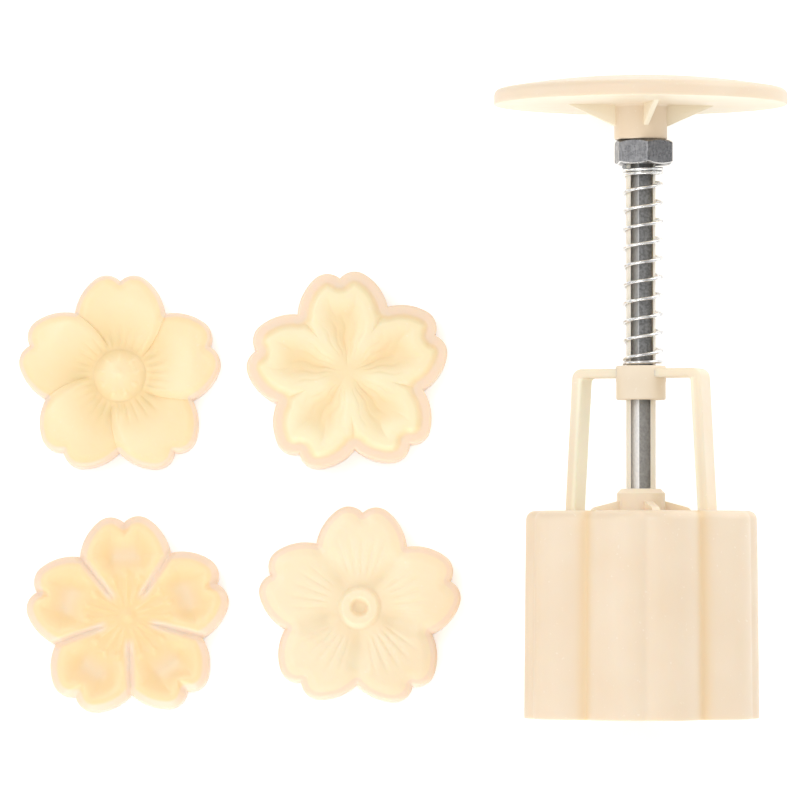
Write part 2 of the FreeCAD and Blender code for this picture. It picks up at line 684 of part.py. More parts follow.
nodes = {
    "barrel": laid_down(barrel()),
    "guide_yoke": laid_down(guide_yoke()),
    "plunger_base": laid_down(plunger_base()),
    "base_screw": laid_down(base_screw()),
    "plunger_stem": laid_down(plunger_stem()),
    "steel_bar": laid_down(steel_bar()),
    "palm_handle": laid_down(palm_handle()),
    "spacer_nut": laid_down(spacer_nut()),
    "return_spring": laid_down(return_spring()),
    "pinwheel_stamp": set_down(pinwheel_stamp(), PINWHEEL_PLACE),
    "heart_stamp": set_down(heart_stamp(), HEART_PLACE),
    "stamen_stamp": set_down(stamen_stamp(), STAMEN_PLACE),
    "ring_stamp": set_down(ring_stamp(), RING_PLACE),
}

# The row's origin is under the middle of the whole set, on the table
extent = Part.makeCompound(list(nodes.values())).optimalBoundingBox(False)
os.makedirs("parts", exist_ok=True)
for name, shape in nodes.items():
    placed = moved(shape, -extent.Center.x, -extent.Center.y)
    placed.exportStep("parts/" + name + ".step")
    print(name, len(placed.Solids), placed.isValid(), round(placed.Volume, 1))
print("shift", -extent.Center.x, -extent.Center.y, "size", extent.XLength, extent.YLength, extent.ZLength)
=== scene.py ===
import math

import bpy
import numpy as np
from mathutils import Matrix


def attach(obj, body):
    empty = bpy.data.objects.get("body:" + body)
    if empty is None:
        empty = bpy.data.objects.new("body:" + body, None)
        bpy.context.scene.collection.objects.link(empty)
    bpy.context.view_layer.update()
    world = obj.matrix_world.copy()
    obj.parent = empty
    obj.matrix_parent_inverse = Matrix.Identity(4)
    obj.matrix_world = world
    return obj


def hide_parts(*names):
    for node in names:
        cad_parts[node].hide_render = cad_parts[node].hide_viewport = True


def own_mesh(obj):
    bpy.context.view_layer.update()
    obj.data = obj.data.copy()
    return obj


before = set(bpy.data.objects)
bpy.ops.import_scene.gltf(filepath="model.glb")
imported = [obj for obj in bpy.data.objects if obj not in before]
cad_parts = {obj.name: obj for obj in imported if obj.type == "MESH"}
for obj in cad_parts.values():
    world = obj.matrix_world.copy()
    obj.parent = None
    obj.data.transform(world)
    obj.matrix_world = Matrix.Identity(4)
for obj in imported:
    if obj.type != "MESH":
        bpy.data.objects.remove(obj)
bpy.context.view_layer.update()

# Barrel
# Blossom-shaped tube that holds the dough, open at the mouth, with a top plate round the plunger's
# hole. One injection moulding in cream ABS, with thin drafted walls, a rounded shoulder and softly
# rounded valleys between the petals.

MM = 0.001
PRESS_TILT = math.radians(3.478908)
PRESS_PLACE = (57.8061, -76.1801, 26.22925)

PETALS = 5
LOBE_RADIUS = 4.6
LOBE_CENTRE_RADIUS = 20.2
LOBE_ANGLE = math.radians(9.5)
FLANK_RADIUS = 12.5
VALLEY_RADIUS = 18.8
HALF_PETAL = math.pi / PETALS

BARREL_HEIGHT = 49.7
BARREL_OFFSET = 3.6
BARREL_DRAFT = 0.5
BARREL_TOP = 2.5
SHOULDER_ROUND = 2.2
MOUTH_ROUND = 0.35
CAVITY_OFFSET = 0.4
RIB_HOLE_RADIUS = 13.3
HOLE_ROUND = 0.3
BARREL_COLUMNS = 720
CORNER_COLUMNS = 5
ROUND_CODE = 40.0

SCUFF = "#FFF6EA"
CREAM = "#EDDCC4"
CREAM_DEEP = "#EAD6BB"
CREAM_VALLEY_SHADE = "#ECD2AA"
CREAM_PAINTED_GLOW = "#FFF6DE"
VALLEY_SHADE_WIDTH = 1.7

FLOW_MARK = 9.0
GLOSS_PATCH = 3.5
MOULD_GRAIN = 0.9
MOULD_GRAIN_HEIGHT = 0.06
SCUFF_SIZE = 0.5
PLASTIC_IOR = 1.53
SATIN = 0.4
SOAK = 0.4
SOAK_DEPTH = 2.0
SOAK_BY_COLOUR = (1.0, 0.75, 0.5)


def laid(points):
    """Places in the row, in metres, of points in mm of the upright press.

    The press is tilted back onto the table about the x axis, then moved.
    """
    x, y, z = np.moveaxis(np.asarray(points, float), -1, 0)
    c, s = math.cos(PRESS_TILT), math.sin(PRESS_TILT)
    along = y * s + z * c
    above = z * s - y * c
    return MM * (np.stack([x, along, above], -1) + np.array(PRESS_PLACE))


def circle_exit(centre, radius, angle, side=1):
    """Distance from the axis at which rays at these angles leave a circle.

    It is the ray's closest approach to the centre plus half the chord, or minus it, where the ray
    enters, if side is -1.
    """
    along = centre[0] * np.cos(angle) + centre[1] * np.sin(angle)
    chord = radius ** 2 - centre[0] ** 2 - centre[1] ** 2 + along ** 2
    return along + side * np.sqrt(np.maximum(chord, 0))


# Centres and corners of the arcs in half a petal: first number along the petal, second across it
LOBE = LOBE_CENTRE_RADIUS * np.array([math.cos(LOBE_ANGLE), math.sin(LOBE_ANGLE)])
VALLEY = VALLEY_RADIUS * np.array([math.cos(HALF_PETAL), math.sin(HALF_PETAL)])
SPAN = np.linalg.norm(VALLEY - LOBE)
STEP = (VALLEY - LOBE) / SPAN
FLANK_INNER = FLANK_RADIUS - LOBE_RADIUS
FLANK_ALONG = (FLANK_INNER ** 2 - FLANK_RADIUS ** 2 + SPAN ** 2) / (2 * SPAN)
FLANK_ACROSS = math.sqrt(FLANK_INNER ** 2 - FLANK_ALONG ** 2)
FLANK = LOBE + STEP * FLANK_ALONG + np.array([-STEP[1], STEP[0]]) * FLANK_ACROSS
TO_JOINT = (LOBE - FLANK) / np.linalg.norm(LOBE - FLANK)
NOTCH = np.array([float(circle_exit(LOBE, LOBE_RADIUS, 0.0)), 0.0])


def folded(angle):
    """Angle from the middle of the nearest petal, between nothing and half a petal."""
    return np.abs((angle + HALF_PETAL) % (2 * HALF_PETAL) - HALF_PETAL)


def outline(angle, offset):
    """Distance from the axis to the blossom's edge, grown by offset, by angle off a petal's middle.

    A ray leaves a lobe's circle up to the joint with the flank, and the flank's circle from there
    to the valley. A shrunk edge also runs round the notch and the valley at the offset's distance.
    """
    angle, offset = np.broadcast_arrays(folded(angle), offset)
    lobe_radius = LOBE_RADIUS + offset
    joint = LOBE[:, None] + TO_JOINT[:, None] * lobe_radius.ravel()
    joint_angle = np.arctan2(joint[1], joint[0]).reshape(angle.shape)
    lobe = circle_exit(LOBE, lobe_radius, angle)
    flank = circle_exit(FLANK, FLANK_RADIUS + offset, angle)
    radius = np.where(angle < joint_angle, lobe, flank)
    inward = np.maximum(-offset, 0)
    ends = ((NOTCH, LOBE, LOBE_RADIUS, 1), (VALLEY, FLANK, FLANK_RADIUS, -1))
    for corner, centre, size, sign in ends:
        aim = (corner - centre) / size
        end = centre[:, None] + aim[:, None] * (size + offset).ravel()
        end_angle = np.arctan2(end[1], end[0]).reshape(angle.shape)
        round_corner = (inward > 0) & (sign * (end_angle - angle) > 0)
        radius = np.where(round_corner, circle_exit(corner, inward, angle, -1), radius)
    return radius


def quads(rows, columns, loop):
    """Faces, as corner numbers, between neighbouring rows of a grid whose rows are closed."""
    row = np.arange(rows if loop else rows - 1)[:, None]
    column = np.arange(columns)[None, :]
    following = (row + 1) % rows
    beside = (column + 1) % columns
    corners = [row * columns + column, row * columns + beside, following * columns + beside]
    corners.append(following * columns + column)
    return np.stack(np.broadcast_arrays(*corners), -1).reshape(-1, 4)


def shell(rings, loop=False):
    """Closed skin over rings of points, given as rows of columns of (x, y, z).

    The rows join each other. Unless the last row joins the first, a middle point closes each end.
    """
    rows, columns = rings.shape[:2]
    points = rings.reshape(-1, 3)
    faces = quads(rows, columns, loop).tolist()
    if not loop:
        points = np.concatenate([points, rings[:1].mean(1), rings[-1:].mean(1)])
        here = np.arange(columns)
        beside = (here + 1) % columns
        last = (rows - 1) * columns
        middle = np.full(columns, rows * columns)
        faces += np.stack([beside, here, middle], -1).tolist()
        faces += np.stack([last + here, last + beside, middle + 1], -1).tolist()
    return points, faces


def rounded(corners, steps=6, beside=0.25):
    """Path through (across, up, radius) corners with each corner replaced by an arc of its radius.

    Each arc is tangent to both runs: it starts and ends at radius times the tangent of half the
    turn from the corner, and bulges about a centre on the bisector. One more point beside each end
    keeps the runs flat.
    """
    nearly_straight = 0.01
    corners = np.asarray(corners, float)
    places, radii = corners[:, :2], corners[:, 2]
    path = []
    runs = zip(np.roll(places, 1, 0), places, np.roll(places, -1, 0), radii)
    for before, here, after, radius in runs:
        back = (before - here) / np.linalg.norm(before - here)
        on = (after - here) / np.linalg.norm(after - here)
        opening = math.acos(np.clip(back @ on, -1, 1))
        if radius == 0 or math.pi - opening < nearly_straight:
            path.append(here[None])
            continue
        centre = here + (back + on) / np.linalg.norm(back + on) * radius / math.sin(opening / 2)
        reach = radius / math.tan(opening / 2)
        start = here + back * reach - centre
        end = here + on * reach - centre
        turn = math.pi - opening
        share = np.linspace(0, 1, steps + 1)[:, None]
        bend = np.sin((1 - share) * turn) * start + np.sin(share * turn) * end
        path.append((here + back * (reach + beside))[None])
        path.append(centre + bend / math.sin(turn))
        path.append((here + on * (reach + beside))[None])
    return np.concatenate(path)


def linear(colour):
    """Linear colour of an sRGB hex value, by the standard's straight and curved parts."""
    value = np.array([int(colour[i:i + 2], 16) for i in (1, 3, 5)]) / 255
    value = np.where(value <= 0.04045, value / 12.92, ((value + 0.055) / 1.055) ** 2.4)
    return (*value.tolist(), 1.0)


def add(tree, kind, settings=None, links=None):
    """Adds a node, sets its properties or sockets by name or number, and links its sockets."""
    node = tree.nodes.new(kind)
    for name, value in (settings or {}).items():
        if isinstance(name, str) and hasattr(node, name):
            setattr(node, name, value)
        else:
            node.inputs[name].default_value = value
    for name, source in (links or {}).items():
        tree.links.new(source, node.inputs[name])
    return node


def surface(name):
    """New material with an empty tree, its output and its shader."""
    material = bpy.data.materials.new(name)
    material.use_nodes = True
    tree = material.node_tree
    tree.nodes.clear()
    shader = add(tree, "ShaderNodeBsdfPrincipled")
    add(tree, "ShaderNodeOutputMaterial", links={"Surface": shader.outputs[0]})
    return material, tree, shader


def feed(tree, sources):
    """Links each source to the shader's socket of its name."""
    for name, source in sources.items():
        tree.links.new(source, tree.nodes["Principled BSDF"].inputs[name])


def grains(tree, size_mm, detail=2.0):
    """Noise on the piece's own coordinates, in blotches about this many mm across."""
    place = add(tree, "ShaderNodeTexCoord").outputs["Object"]
    settings = {"Scale": 0.5 / (size_mm * MM), "Detail": detail, "Roughness": 0.5}
    return add(tree, "ShaderNodeTexNoise", settings, {"Vector": place}).outputs["Fac"]


def spread(tree, source, low, high, start=0.35, end=0.65):
    """Stretches a noise's middle range to run from low to high."""
    settings = {"From Min": start, "From Max": end, "To Min": low, "To Max": high}
    return add(tree, "ShaderNodeMapRange", settings, {"Value": source}).outputs["Result"]


def blended(tree, share, first, second):
    """Colour between two, each given as a hex value or as another node's output."""
    settings, links = {"data_type": "RGBA"}, {0: share}
    for number, colour in ((6, first), (7, second)):
        if isinstance(colour, str):
            settings[number] = linear(colour)
        else:
            links[number] = colour
    return add(tree, "ShaderNodeMix", settings, links).outputs[2]


def moulded(name, colour, deep, roughness, soak):
    """Moulded plastic: two close shades in soft clouds, a satin skin, and light let in a little.

    The clouds are flow marks. A finer grain is the mould's polish, drawn coarser than the real one
    so that it shows, and a few pale specks are scuffs. Red light soaks in deepest. Returns the tree
    and the colour as well, so that a piece can tint it.
    """
    material, tree, shader = surface(name)
    cloud = spread(tree, grains(tree, FLOW_MARK), 0.0, 1.0, start=0.3, end=0.7)
    scuff = spread(tree, grains(tree, SCUFF_SIZE, detail=1.0), 0.0, 0.3, start=0.71, end=0.78)
    skin = blended(tree, scuff, blended(tree, cloud, colour, deep), SCUFF)
    gloss = spread(tree, grains(tree, GLOSS_PATCH), roughness - 0.04, roughness + 0.05)
    polish = grains(tree, MOULD_GRAIN, detail=3.0)
    grain = {"Strength": 0.2, "Distance": MOULD_GRAIN_HEIGHT * MM}
    bump = add(tree, "ShaderNodeBump", grain, {"Height": polish})
    feed(tree, {"Base Color": skin, "Roughness": gloss, "Normal": bump.outputs[0]})
    shader.inputs["IOR"].default_value = PLASTIC_IOR
    shader.inputs["Subsurface Weight"].default_value = soak
    shader.inputs["Subsurface Radius"].default_value = SOAK_BY_COLOUR
    shader.inputs["Subsurface Scale"].default_value = SOAK_DEPTH * MM
    return material, tree, skin


def make(name, shells, material, sharp=34):
    """New object from closed skins of (points in metres, faces).

    It is smooth apart from edges that turn by more than sharp degrees.
    """
    points = np.concatenate([part[0] for part in shells])
    faces = []
    start = 0
    for part_points, part_faces in shells:
        faces += [[start + corner for corner in face] for face in part_faces]
        start += len(part_points)
    mesh = bpy.data.meshes.new(name)
    mesh.from_pydata(points.tolist(), [], faces)
    mesh.shade_smooth()
    mesh.set_sharp_from_angle(angle=math.radians(sharp))
    mesh.materials.append(material)
    made = bpy.data.objects.new(name, mesh)
    bpy.context.scene.collection.objects.link(made)
    return made


def eased(radius, reach):
    """Radii averaged with their neighbours, so that corners turn round.

    The weights fall evenly to nothing past reach.
    """
    total = 0
    for step in range(-reach, reach + 1):
        total = total + (reach + 1 - abs(step)) * np.roll(radius, step, -1)
    return total / (reach + 1) ** 2


def marked(piece, name, values):
    """Stores one number for each of a piece's points, which its material reads by this name."""
    stored = piece.data.attributes.new(name, "FLOAT", "POINT")
    stored.data.foreach_set("value", np.asarray(values, np.float32))


def mark(tree, name):
    """The number stored under this name."""
    return add(tree, "ShaderNodeAttribute", {"attribute_name": name}).outputs["Fac"]


def ringed(path, columns, petal_at):
    """Rings from (size, height) points: blossoms grown by size, or circles.

    A circle's size is its radius less ROUND_CODE. petal_at is the clockwise angle from +y at which
    a petal points. Blossoms grown outwards by more than a millimetre, as the barrel's wall is, have
    softly rounded corners between and within the petals.
    """
    angle = np.linspace(0, 2 * math.pi, columns, endpoint=False)
    size, height = path[:, :1], path[:, 1:]
    is_round = size < -ROUND_CODE / 2
    blossom = outline(angle - petal_at, np.where(is_round, 0, size))
    blossom = np.where(size > 1, eased(blossom, CORNER_COLUMNS), blossom)
    radius = np.where(is_round, size + ROUND_CODE, blossom)
    place = [radius * np.sin(angle), radius * np.cos(angle), height + 0 * radius]
    return np.stack(place, -1)[:, ::-1]


barrel_path = rounded(
    [
        (CAVITY_OFFSET, 0, MOUTH_ROUND),
        (BARREL_OFFSET, 0, MOUTH_ROUND),
        (BARREL_OFFSET - BARREL_DRAFT, BARREL_HEIGHT, SHOULDER_ROUND),
        (RIB_HOLE_RADIUS - ROUND_CODE, BARREL_HEIGHT, HOLE_ROUND),
        (RIB_HOLE_RADIUS - ROUND_CODE, BARREL_HEIGHT - BARREL_TOP, HOLE_ROUND),
        (CAVITY_OFFSET, BARREL_HEIGHT - BARREL_TOP, 0),
    ],
    8,
)
# Satin cream ABS, slightly milky. A deeper yellow along the valleys between petals is painted
# shade, and a paler cream where light would come through is a painted glow. No light soaks in near
# the places where two shells of one piece cross, since it would show them as dark lines.
abs_cream, cream_tree, cream_skin = moulded("cream_abs", CREAM, CREAM_DEEP, SATIN, SOAK)
cream_valley_shaded = blended(cream_tree, mark(cream_tree, "valley"), cream_skin, CREAM_VALLEY_SHADE)
cream_all = blended(cream_tree, mark(cream_tree, "painted_glow"), cream_valley_shaded, CREAM_PAINTED_GLOW)
cream_soak = spread(cream_tree, mark(cream_tree, "crossed"), SOAK, 0.0, start=0.0, end=1.0)
feed(cream_tree, {"Base Color": cream_all, "Subsurface Weight": cream_soak})
barrel_rings = ringed(barrel_path, BARREL_COLUMNS, math.pi)
barrel_piece = make("barrel_shell", [shell(laid(barrel_rings), loop=True)], abs_cream)
# The valley mark is painted shade, strongest on the line between two petals and gone within a few
# mm
barrel_x, barrel_y = barrel_rings[..., 0], barrel_rings[..., 1]
from_middle = folded(np.arctan2(barrel_x, barrel_y) - math.pi)
from_valley = np.hypot(barrel_x, barrel_y) * (HALF_PETAL - from_middle)
marked(barrel_piece, "valley", np.exp(-(from_valley / VALLEY_SHADE_WIDTH) ** 2).ravel())
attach(barrel_piece, "barrel")
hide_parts("barrel")

# Guide yoke
# One moulded strap of two flaring legs and a crossbar, with the hub that guides the stem, also in
# cream ABS. Its feet snap into slots in the barrel's top plate.

YOKE_TURN = math.radians(-23)
YOKE_TOP = 83.8
YOKE_BAR_THICKNESS = 2.2
YOKE_FOOT = 47.3
YOKE_SHANK = 50.7
LEG_THICKNESS = 2.6
LEG_WIDTH = 7.4
LEG_TOP_RADIUS = 15.1
LEG_FOOT_RADIUS = 16.9
LEG_ROUND = 0.7
LEG_CORNER = 2.4
LEG_INNER_CORNER = 1.0
HUB_RADIUS = 6.05
HUB_TOP = 84.5
HUB_RING_FOOT = 80.8
HUB_BOTTOM = 76.3
HUB_DRUM_RADIUS = 5.95
HUB_BORE = 3.63
HUB_RING_STEP = 0.3
HUB_EDGE_ROUND = 0.4
HUB_BORE_ROUND = 0.3

# Shares of painted glow on the strap and on the hub
LEG_PAINTED_GLOW = 0.35
HUB_PAINTED_GLOW = 0.2
CROSSBAR_SHARE = 0.93
CROSSED_NEAR = 1.0
CROSSED_FAR = 5.0


def lathed(path, columns=144):
    """Rings of a turned or round moulded shape, from its closed profile of (radius, height)."""
    angle = np.linspace(0, 2 * math.pi, columns, endpoint=False)
    radius, height = path[:, :1], path[:, 1:]
    place = [radius * np.cos(angle), radius * np.sin(angle), height + 0 * angle]
    return np.stack(np.broadcast_arrays(*place), -1)


def turned(points, angle):
    """Points turned about the z axis, anticlockwise seen from above."""
    x, y, z = np.moveaxis(points, -1, 0)
    c, s = math.cos(angle), math.sin(angle)
    return np.stack([x * c - y * s, x * s + y * c, z], -1)


def fade(value, low, high):
    """Smooth step: 0 up to low, 1 from high, and level at both ends."""
    share = np.clip((value - low) / (high - low), 0, 1)
    return share ** 2 * (3 - 2 * share)


def strap_rings():
    """Rings of the strap: a rounded rectangle carried from foot to foot, over the crossbar.

    Its outer and inner side paths have equally many points, and each ring spans two of them.
    Each corner of the rectangle is a quarter circle with one more point on either flat.
    """
    on_flat = -0.6
    half = LEG_THICKNESS / 2
    under = YOKE_TOP - YOKE_BAR_THICKNESS
    sides = []
    for sign, top, corner in ((1, YOKE_TOP, LEG_CORNER), (-1, under, LEG_INNER_CORNER)):
        upper, lower = LEG_TOP_RADIUS + sign * half, LEG_FOOT_RADIUS + sign * half
        turns = [
            (-lower, YOKE_FOOT, 0),
            (-lower, YOKE_SHANK, 0),
            (-upper, top, corner),
            (upper, top, corner),
            (lower, YOKE_SHANK, 0),
            (lower, YOKE_FOOT, 0),
        ]
        sides.append(rounded(turns, 10))
    outer, inner = sides
    depth = np.linalg.norm(outer - inner, axis=-1)[:, None, None] / 2
    bend = np.linspace(0, math.pi / 2, 7)
    c = np.concatenate([[1.0], np.cos(bend), [on_flat]])
    s = np.concatenate([[on_flat], np.sin(bend), [1.0]])
    arc_out = np.concatenate([c, -s, -c, s])
    arc_side = np.concatenate([s, c, -s, -c])
    corner_out = np.repeat([1, -1, -1, 1], len(bend) + 2)
    corner_side = np.repeat([1, 1, -1, -1], len(bend) + 2)
    across = corner_out[None, :, None] * (depth - LEG_ROUND) + LEG_ROUND * arc_out[None, :, None]
    wide = (corner_side * (LEG_WIDTH / 2 - LEG_ROUND) + LEG_ROUND * arc_side)[None, :, None]
    middle = ((outer + inner) / 2)[:, None, :]
    aim = ((outer - inner) / (2 * depth[:, :, 0]))[:, None, :]
    flat = middle + aim * across
    return np.stack(np.broadcast_arrays(flat[..., 0], wide[..., 0], flat[..., 1]), -1)[:, ::-1]


hub_path = rounded(
    [
        (HUB_BORE, HUB_BOTTOM, HUB_BORE_ROUND),
        (HUB_DRUM_RADIUS, HUB_BOTTOM, HUB_EDGE_ROUND),
        (HUB_DRUM_RADIUS, HUB_RING_FOOT - HUB_RING_STEP, 0),
        (HUB_RADIUS, HUB_RING_FOOT, 0),
        (HUB_RADIUS, HUB_TOP, HUB_EDGE_ROUND),
        (HUB_BORE, HUB_TOP, HUB_BORE_ROUND),
    ]
)
strap_upright = strap_rings()
strap = shell(laid(turned(strap_upright, YOKE_TURN)))
hub = shell(laid(lathed(hub_path)), loop=True)
yoke_piece = make("guide_yoke_moulding", [strap, hub], abs_cream)
# Painted glow: a paler cream on the whole strap, for light that would come through it, strongest
# on the legs' inner faces, and a little on the hub. In the mesh, the strap's end points and the hub
# follow its rings.
up_leg = (strap_upright[..., 2] - YOKE_SHANK) / (YOKE_TOP - YOKE_SHANK)
leg_middle = LEG_FOOT_RADIUS + (LEG_TOP_RADIUS - LEG_FOOT_RADIUS) * np.clip(up_leg, 0, 1)
strap_reach = np.abs(strap_upright[..., 0])
inner_face = fade(leg_middle - strap_reach, 0.0, 1.0) * (up_leg < CROSSBAR_SHARE)
strap_painted_glow = LEG_PAINTED_GLOW + (1 - LEG_PAINTED_GLOW) * inner_face
after_rings = 2 + len(hub[0])
yoke_painted_glow = np.concatenate([strap_painted_glow.ravel(), np.full(after_rings, HUB_PAINTED_GLOW)])
marked(yoke_piece, "painted_glow", yoke_painted_glow)
strap_crossed = 1 - fade(strap_reach, HUB_RADIUS + CROSSED_NEAR, HUB_RADIUS + CROSSED_FAR)
marked(yoke_piece, "crossed", np.concatenate([strap_crossed.ravel(), np.ones(after_rings)]))
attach(yoke_piece, "barrel")
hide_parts("guide_yoke")

# Plunger base and its screw
# Moulded blossom plate that pushes the stamp, with a collar and four ribs that hold the stem's
# foot. It is drawn in a paler copy of the cream ABS, painted light that lifts the shade between the
# legs and ribs. A slotted zinc-plated screw clamps it to the stem from below.

PLUNGER_CREAM_PAINTED_LIGHT = "#F6E7D1"
PLUNGER_CREAM_DEEP_PAINTED_LIGHT = "#F3E2CA"
ZINC_LIGHT = "#D9D9D6"
ZINC_DARK = "#A9A9AA"
PIT_DEPTH = 0.04


def refinish(node, material):
    """Gives a CAD node's object this material in all its slots."""
    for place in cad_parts[node].material_slots:
        place.material = material


def plated(name, light, dark, spangle_mm, roughness, bite=0.35, metallic=1.0):
    """Plated or turned steel: bright and dull crystals of the given size, and pits half as large.

    Real crystals are some hundredths of a millimetre across; they are drawn coarser so that they
    show. A dull, chalky skin is less metallic.
    """
    material, tree, shader = surface(name)
    crystals = spread(tree, grains(tree, spangle_mm, detail=3.0), 0.0, 1.0, start=0.36, end=0.64)
    skin = blended(tree, crystals, dark, light)
    dull = spread(tree, grains(tree, 2 * spangle_mm), roughness - 0.06, roughness + 0.08)
    pits = {"Strength": bite, "Distance": PIT_DEPTH * MM}
    bump = add(tree, "ShaderNodeBump", pits, {"Height": grains(tree, spangle_mm / 2)})
    feed(tree, {"Base Color": skin, "Roughness": dull, "Normal": bump.outputs[0]})
    shader.inputs["Metallic"].default_value = metallic
    return material, tree, skin


# Zinc plate gives small bright crystals; the plunger's ABS is as satin and milky as the barrel's
zinc = plated("zinc_plated_steel", ZINC_LIGHT, ZINC_DARK, spangle_mm=0.8, roughness=0.34)[0]
# The plunger's paler cream is painted light against the shade round its collar
plunger_abs_painted_light = moulded("plunger_abs_painted_light", PLUNGER_CREAM_PAINTED_LIGHT, PLUNGER_CREAM_DEEP_PAINTED_LIGHT, SATIN, SOAK)[0]
refinish("plunger_base", plunger_abs_painted_light)
refinish("base_screw", zinc)

# Stem and steel bar
# Round moulded stem with a front window, stiffened by a square bar of zinc-plated steel pushed up
# its bore. The bar is cold drawn, with slightly rounded corners; one side carries a painted white
# highlight, full below the hub and dimmer above it, where the spring's shade is painted in.

BAR_SIDE = 4.0
BAR_TURN = math.radians(31)
BAR_BOTTOM = 53.3
STEM_TOP = 146.2
BAR_ROUND = 0.25

DRAWN_LIGHT = "#8F8F8F"
DRAWN_DARK = "#6D6D6D"
DRAWN_METALLIC = 0.5
PAINTED_GLEAM_LIGHT = "#FFFFFF"
PAINTED_GLEAM_DARK = "#F4F5F7"
PAINTED_GLEAM_GRAIN = 0.4
# Share of painted highlight on the bright side, and on the other three
PAINTED_GLEAM_BELOW_HUB = (1.0, 0.19)
PAINTED_GLEAM_ABOVE_HUB = (0.37, 0.0)
ACETAL = "#F4ECDF"
ACETAL_DEEP = "#EBE0CD"


def upright(section, heights):
    """Rings of a straight bar: one closed section of (x, y) points repeated at each height."""
    rings = np.broadcast_to(section[None], (len(heights), *section.shape))
    level = np.broadcast_to(np.reshape(heights, (-1, 1, 1)), (*rings.shape[:2], 1))
    return np.concatenate([rings, level], -1)


half_bar = BAR_SIDE / 2
square = ((-1, -1), (1, -1), (1, 1), (-1, 1))
bar_section = rounded([(x * half_bar, y * half_bar, BAR_ROUND) for x, y in square])
bar_heights = [BAR_BOTTOM, HUB_BOTTOM, HUB_TOP, STEM_TOP]
bar_shell = shell(laid(turned(upright(bar_section, bar_heights), BAR_TURN)))
# Drawn steel under thin zinc is a dull grey. The bright side is a painted reflection: a pale skin
# that isn't metallic, so that it looks white from any angle.
drawn_steel, drawn_tree, drawn_skin = plated(
    "cold_drawn_steel",
    DRAWN_LIGHT,
    DRAWN_DARK,
    spangle_mm=0.35,
    roughness=0.46,
    bite=0.4,
    metallic=DRAWN_METALLIC,
)
flecks = spread(drawn_tree, grains(drawn_tree, PAINTED_GLEAM_GRAIN), 0.0, 1.0)
bright = blended(drawn_tree, flecks, PAINTED_GLEAM_LIGHT, PAINTED_GLEAM_DARK)
is_painted_gleam = mark(drawn_tree, "painted_gleam")
painted_gleam = blended(drawn_tree, is_painted_gleam, drawn_skin, bright)
drawn_metallic = spread(drawn_tree, is_painted_gleam, DRAWN_METALLIC, 0.0, start=0.0, end=1.0)
feed(drawn_tree, {"Base Color": painted_gleam, "Metallic": drawn_metallic})
bar_piece = make("square_bar", [bar_shell], drawn_steel)
# The painted highlight lies on the bar's left side, with a little on the others below the hub
on_painted_gleam_side = bar_section[:, 0] < BAR_ROUND - half_bar
below_hub = np.where(on_painted_gleam_side, *PAINTED_GLEAM_BELOW_HUB)
above_hub = np.where(on_painted_gleam_side, *PAINTED_GLEAM_ABOVE_HUB)
bar_painted_gleam = np.stack([below_hub, below_hub, above_hub, above_hub])
end_points = [0, 0]
marked(bar_piece, "painted_gleam", np.concatenate([bar_painted_gleam.ravel(), end_points]))
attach(bar_piece, "plunger")
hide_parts("steel_bar")
# Natural acetal is whiter and a little glossier than the ABS
acetal = moulded("natural_acetal", ACETAL, ACETAL_DEEP, roughness=0.36, soak=0.3)[0]
refinish("plunger_stem", acetal)

# Spacer nut
# Hexagon of turned free-cutting steel, 13 mm across flats, chamfered at both ends and loose on the
# stem. Handling has left it dull, with scratches along its flats. A white highlight is painted
# along the edge of its lower chamfer.

NUT_FLAT = 6.5
NUT_CORNER = NUT_FLAT * 2 / math.sqrt(3)
NUT_BOTTOM = 132.8
NUT_TOP = 138.7
NUT_TURN = math.radians(7)
NUT_SHIFT = 0.7
NUT_BORE = 4.35
NUT_CHAMFER = 0.7
NUT_END_RADIUS = NUT_FLAT - 0.35
NUT_CORNER_WEAR = 0.12
NUT_BORE_CHAMFER = 0.4
NUT_COLUMNS = 360

NUT_LIGHT = "#929294"
NUT_DARK = "#7A7A7C"
SCRATCH = "#505053"
SCRATCH_WIDTH = 0.12
SCRATCH_LENGTH = 0.9
CHAMFER_PAINTED_HIGHLIGHT = "#FFFFFF"
CHAMFER_HIGHLIGHT_WIDTH = 0.35


def streaks(tree, width_mm, length_mm):
    """Noise drawn out along the press: scratches of about this width and length."""
    place = add(tree, "ShaderNodeTexCoord").outputs["Object"]
    across, along = 0.5 / (width_mm * MM), 0.5 / (length_mm * MM)
    drawn = add(tree, "ShaderNodeMapping", {"Scale": (across, along, across)}, {"Vector": place})
    noise = {"Scale": 1.0, "Detail": 2.0}
    return add(tree, "ShaderNodeTexNoise", noise, {"Vector": drawn.outputs[0]}).outputs["Fac"]


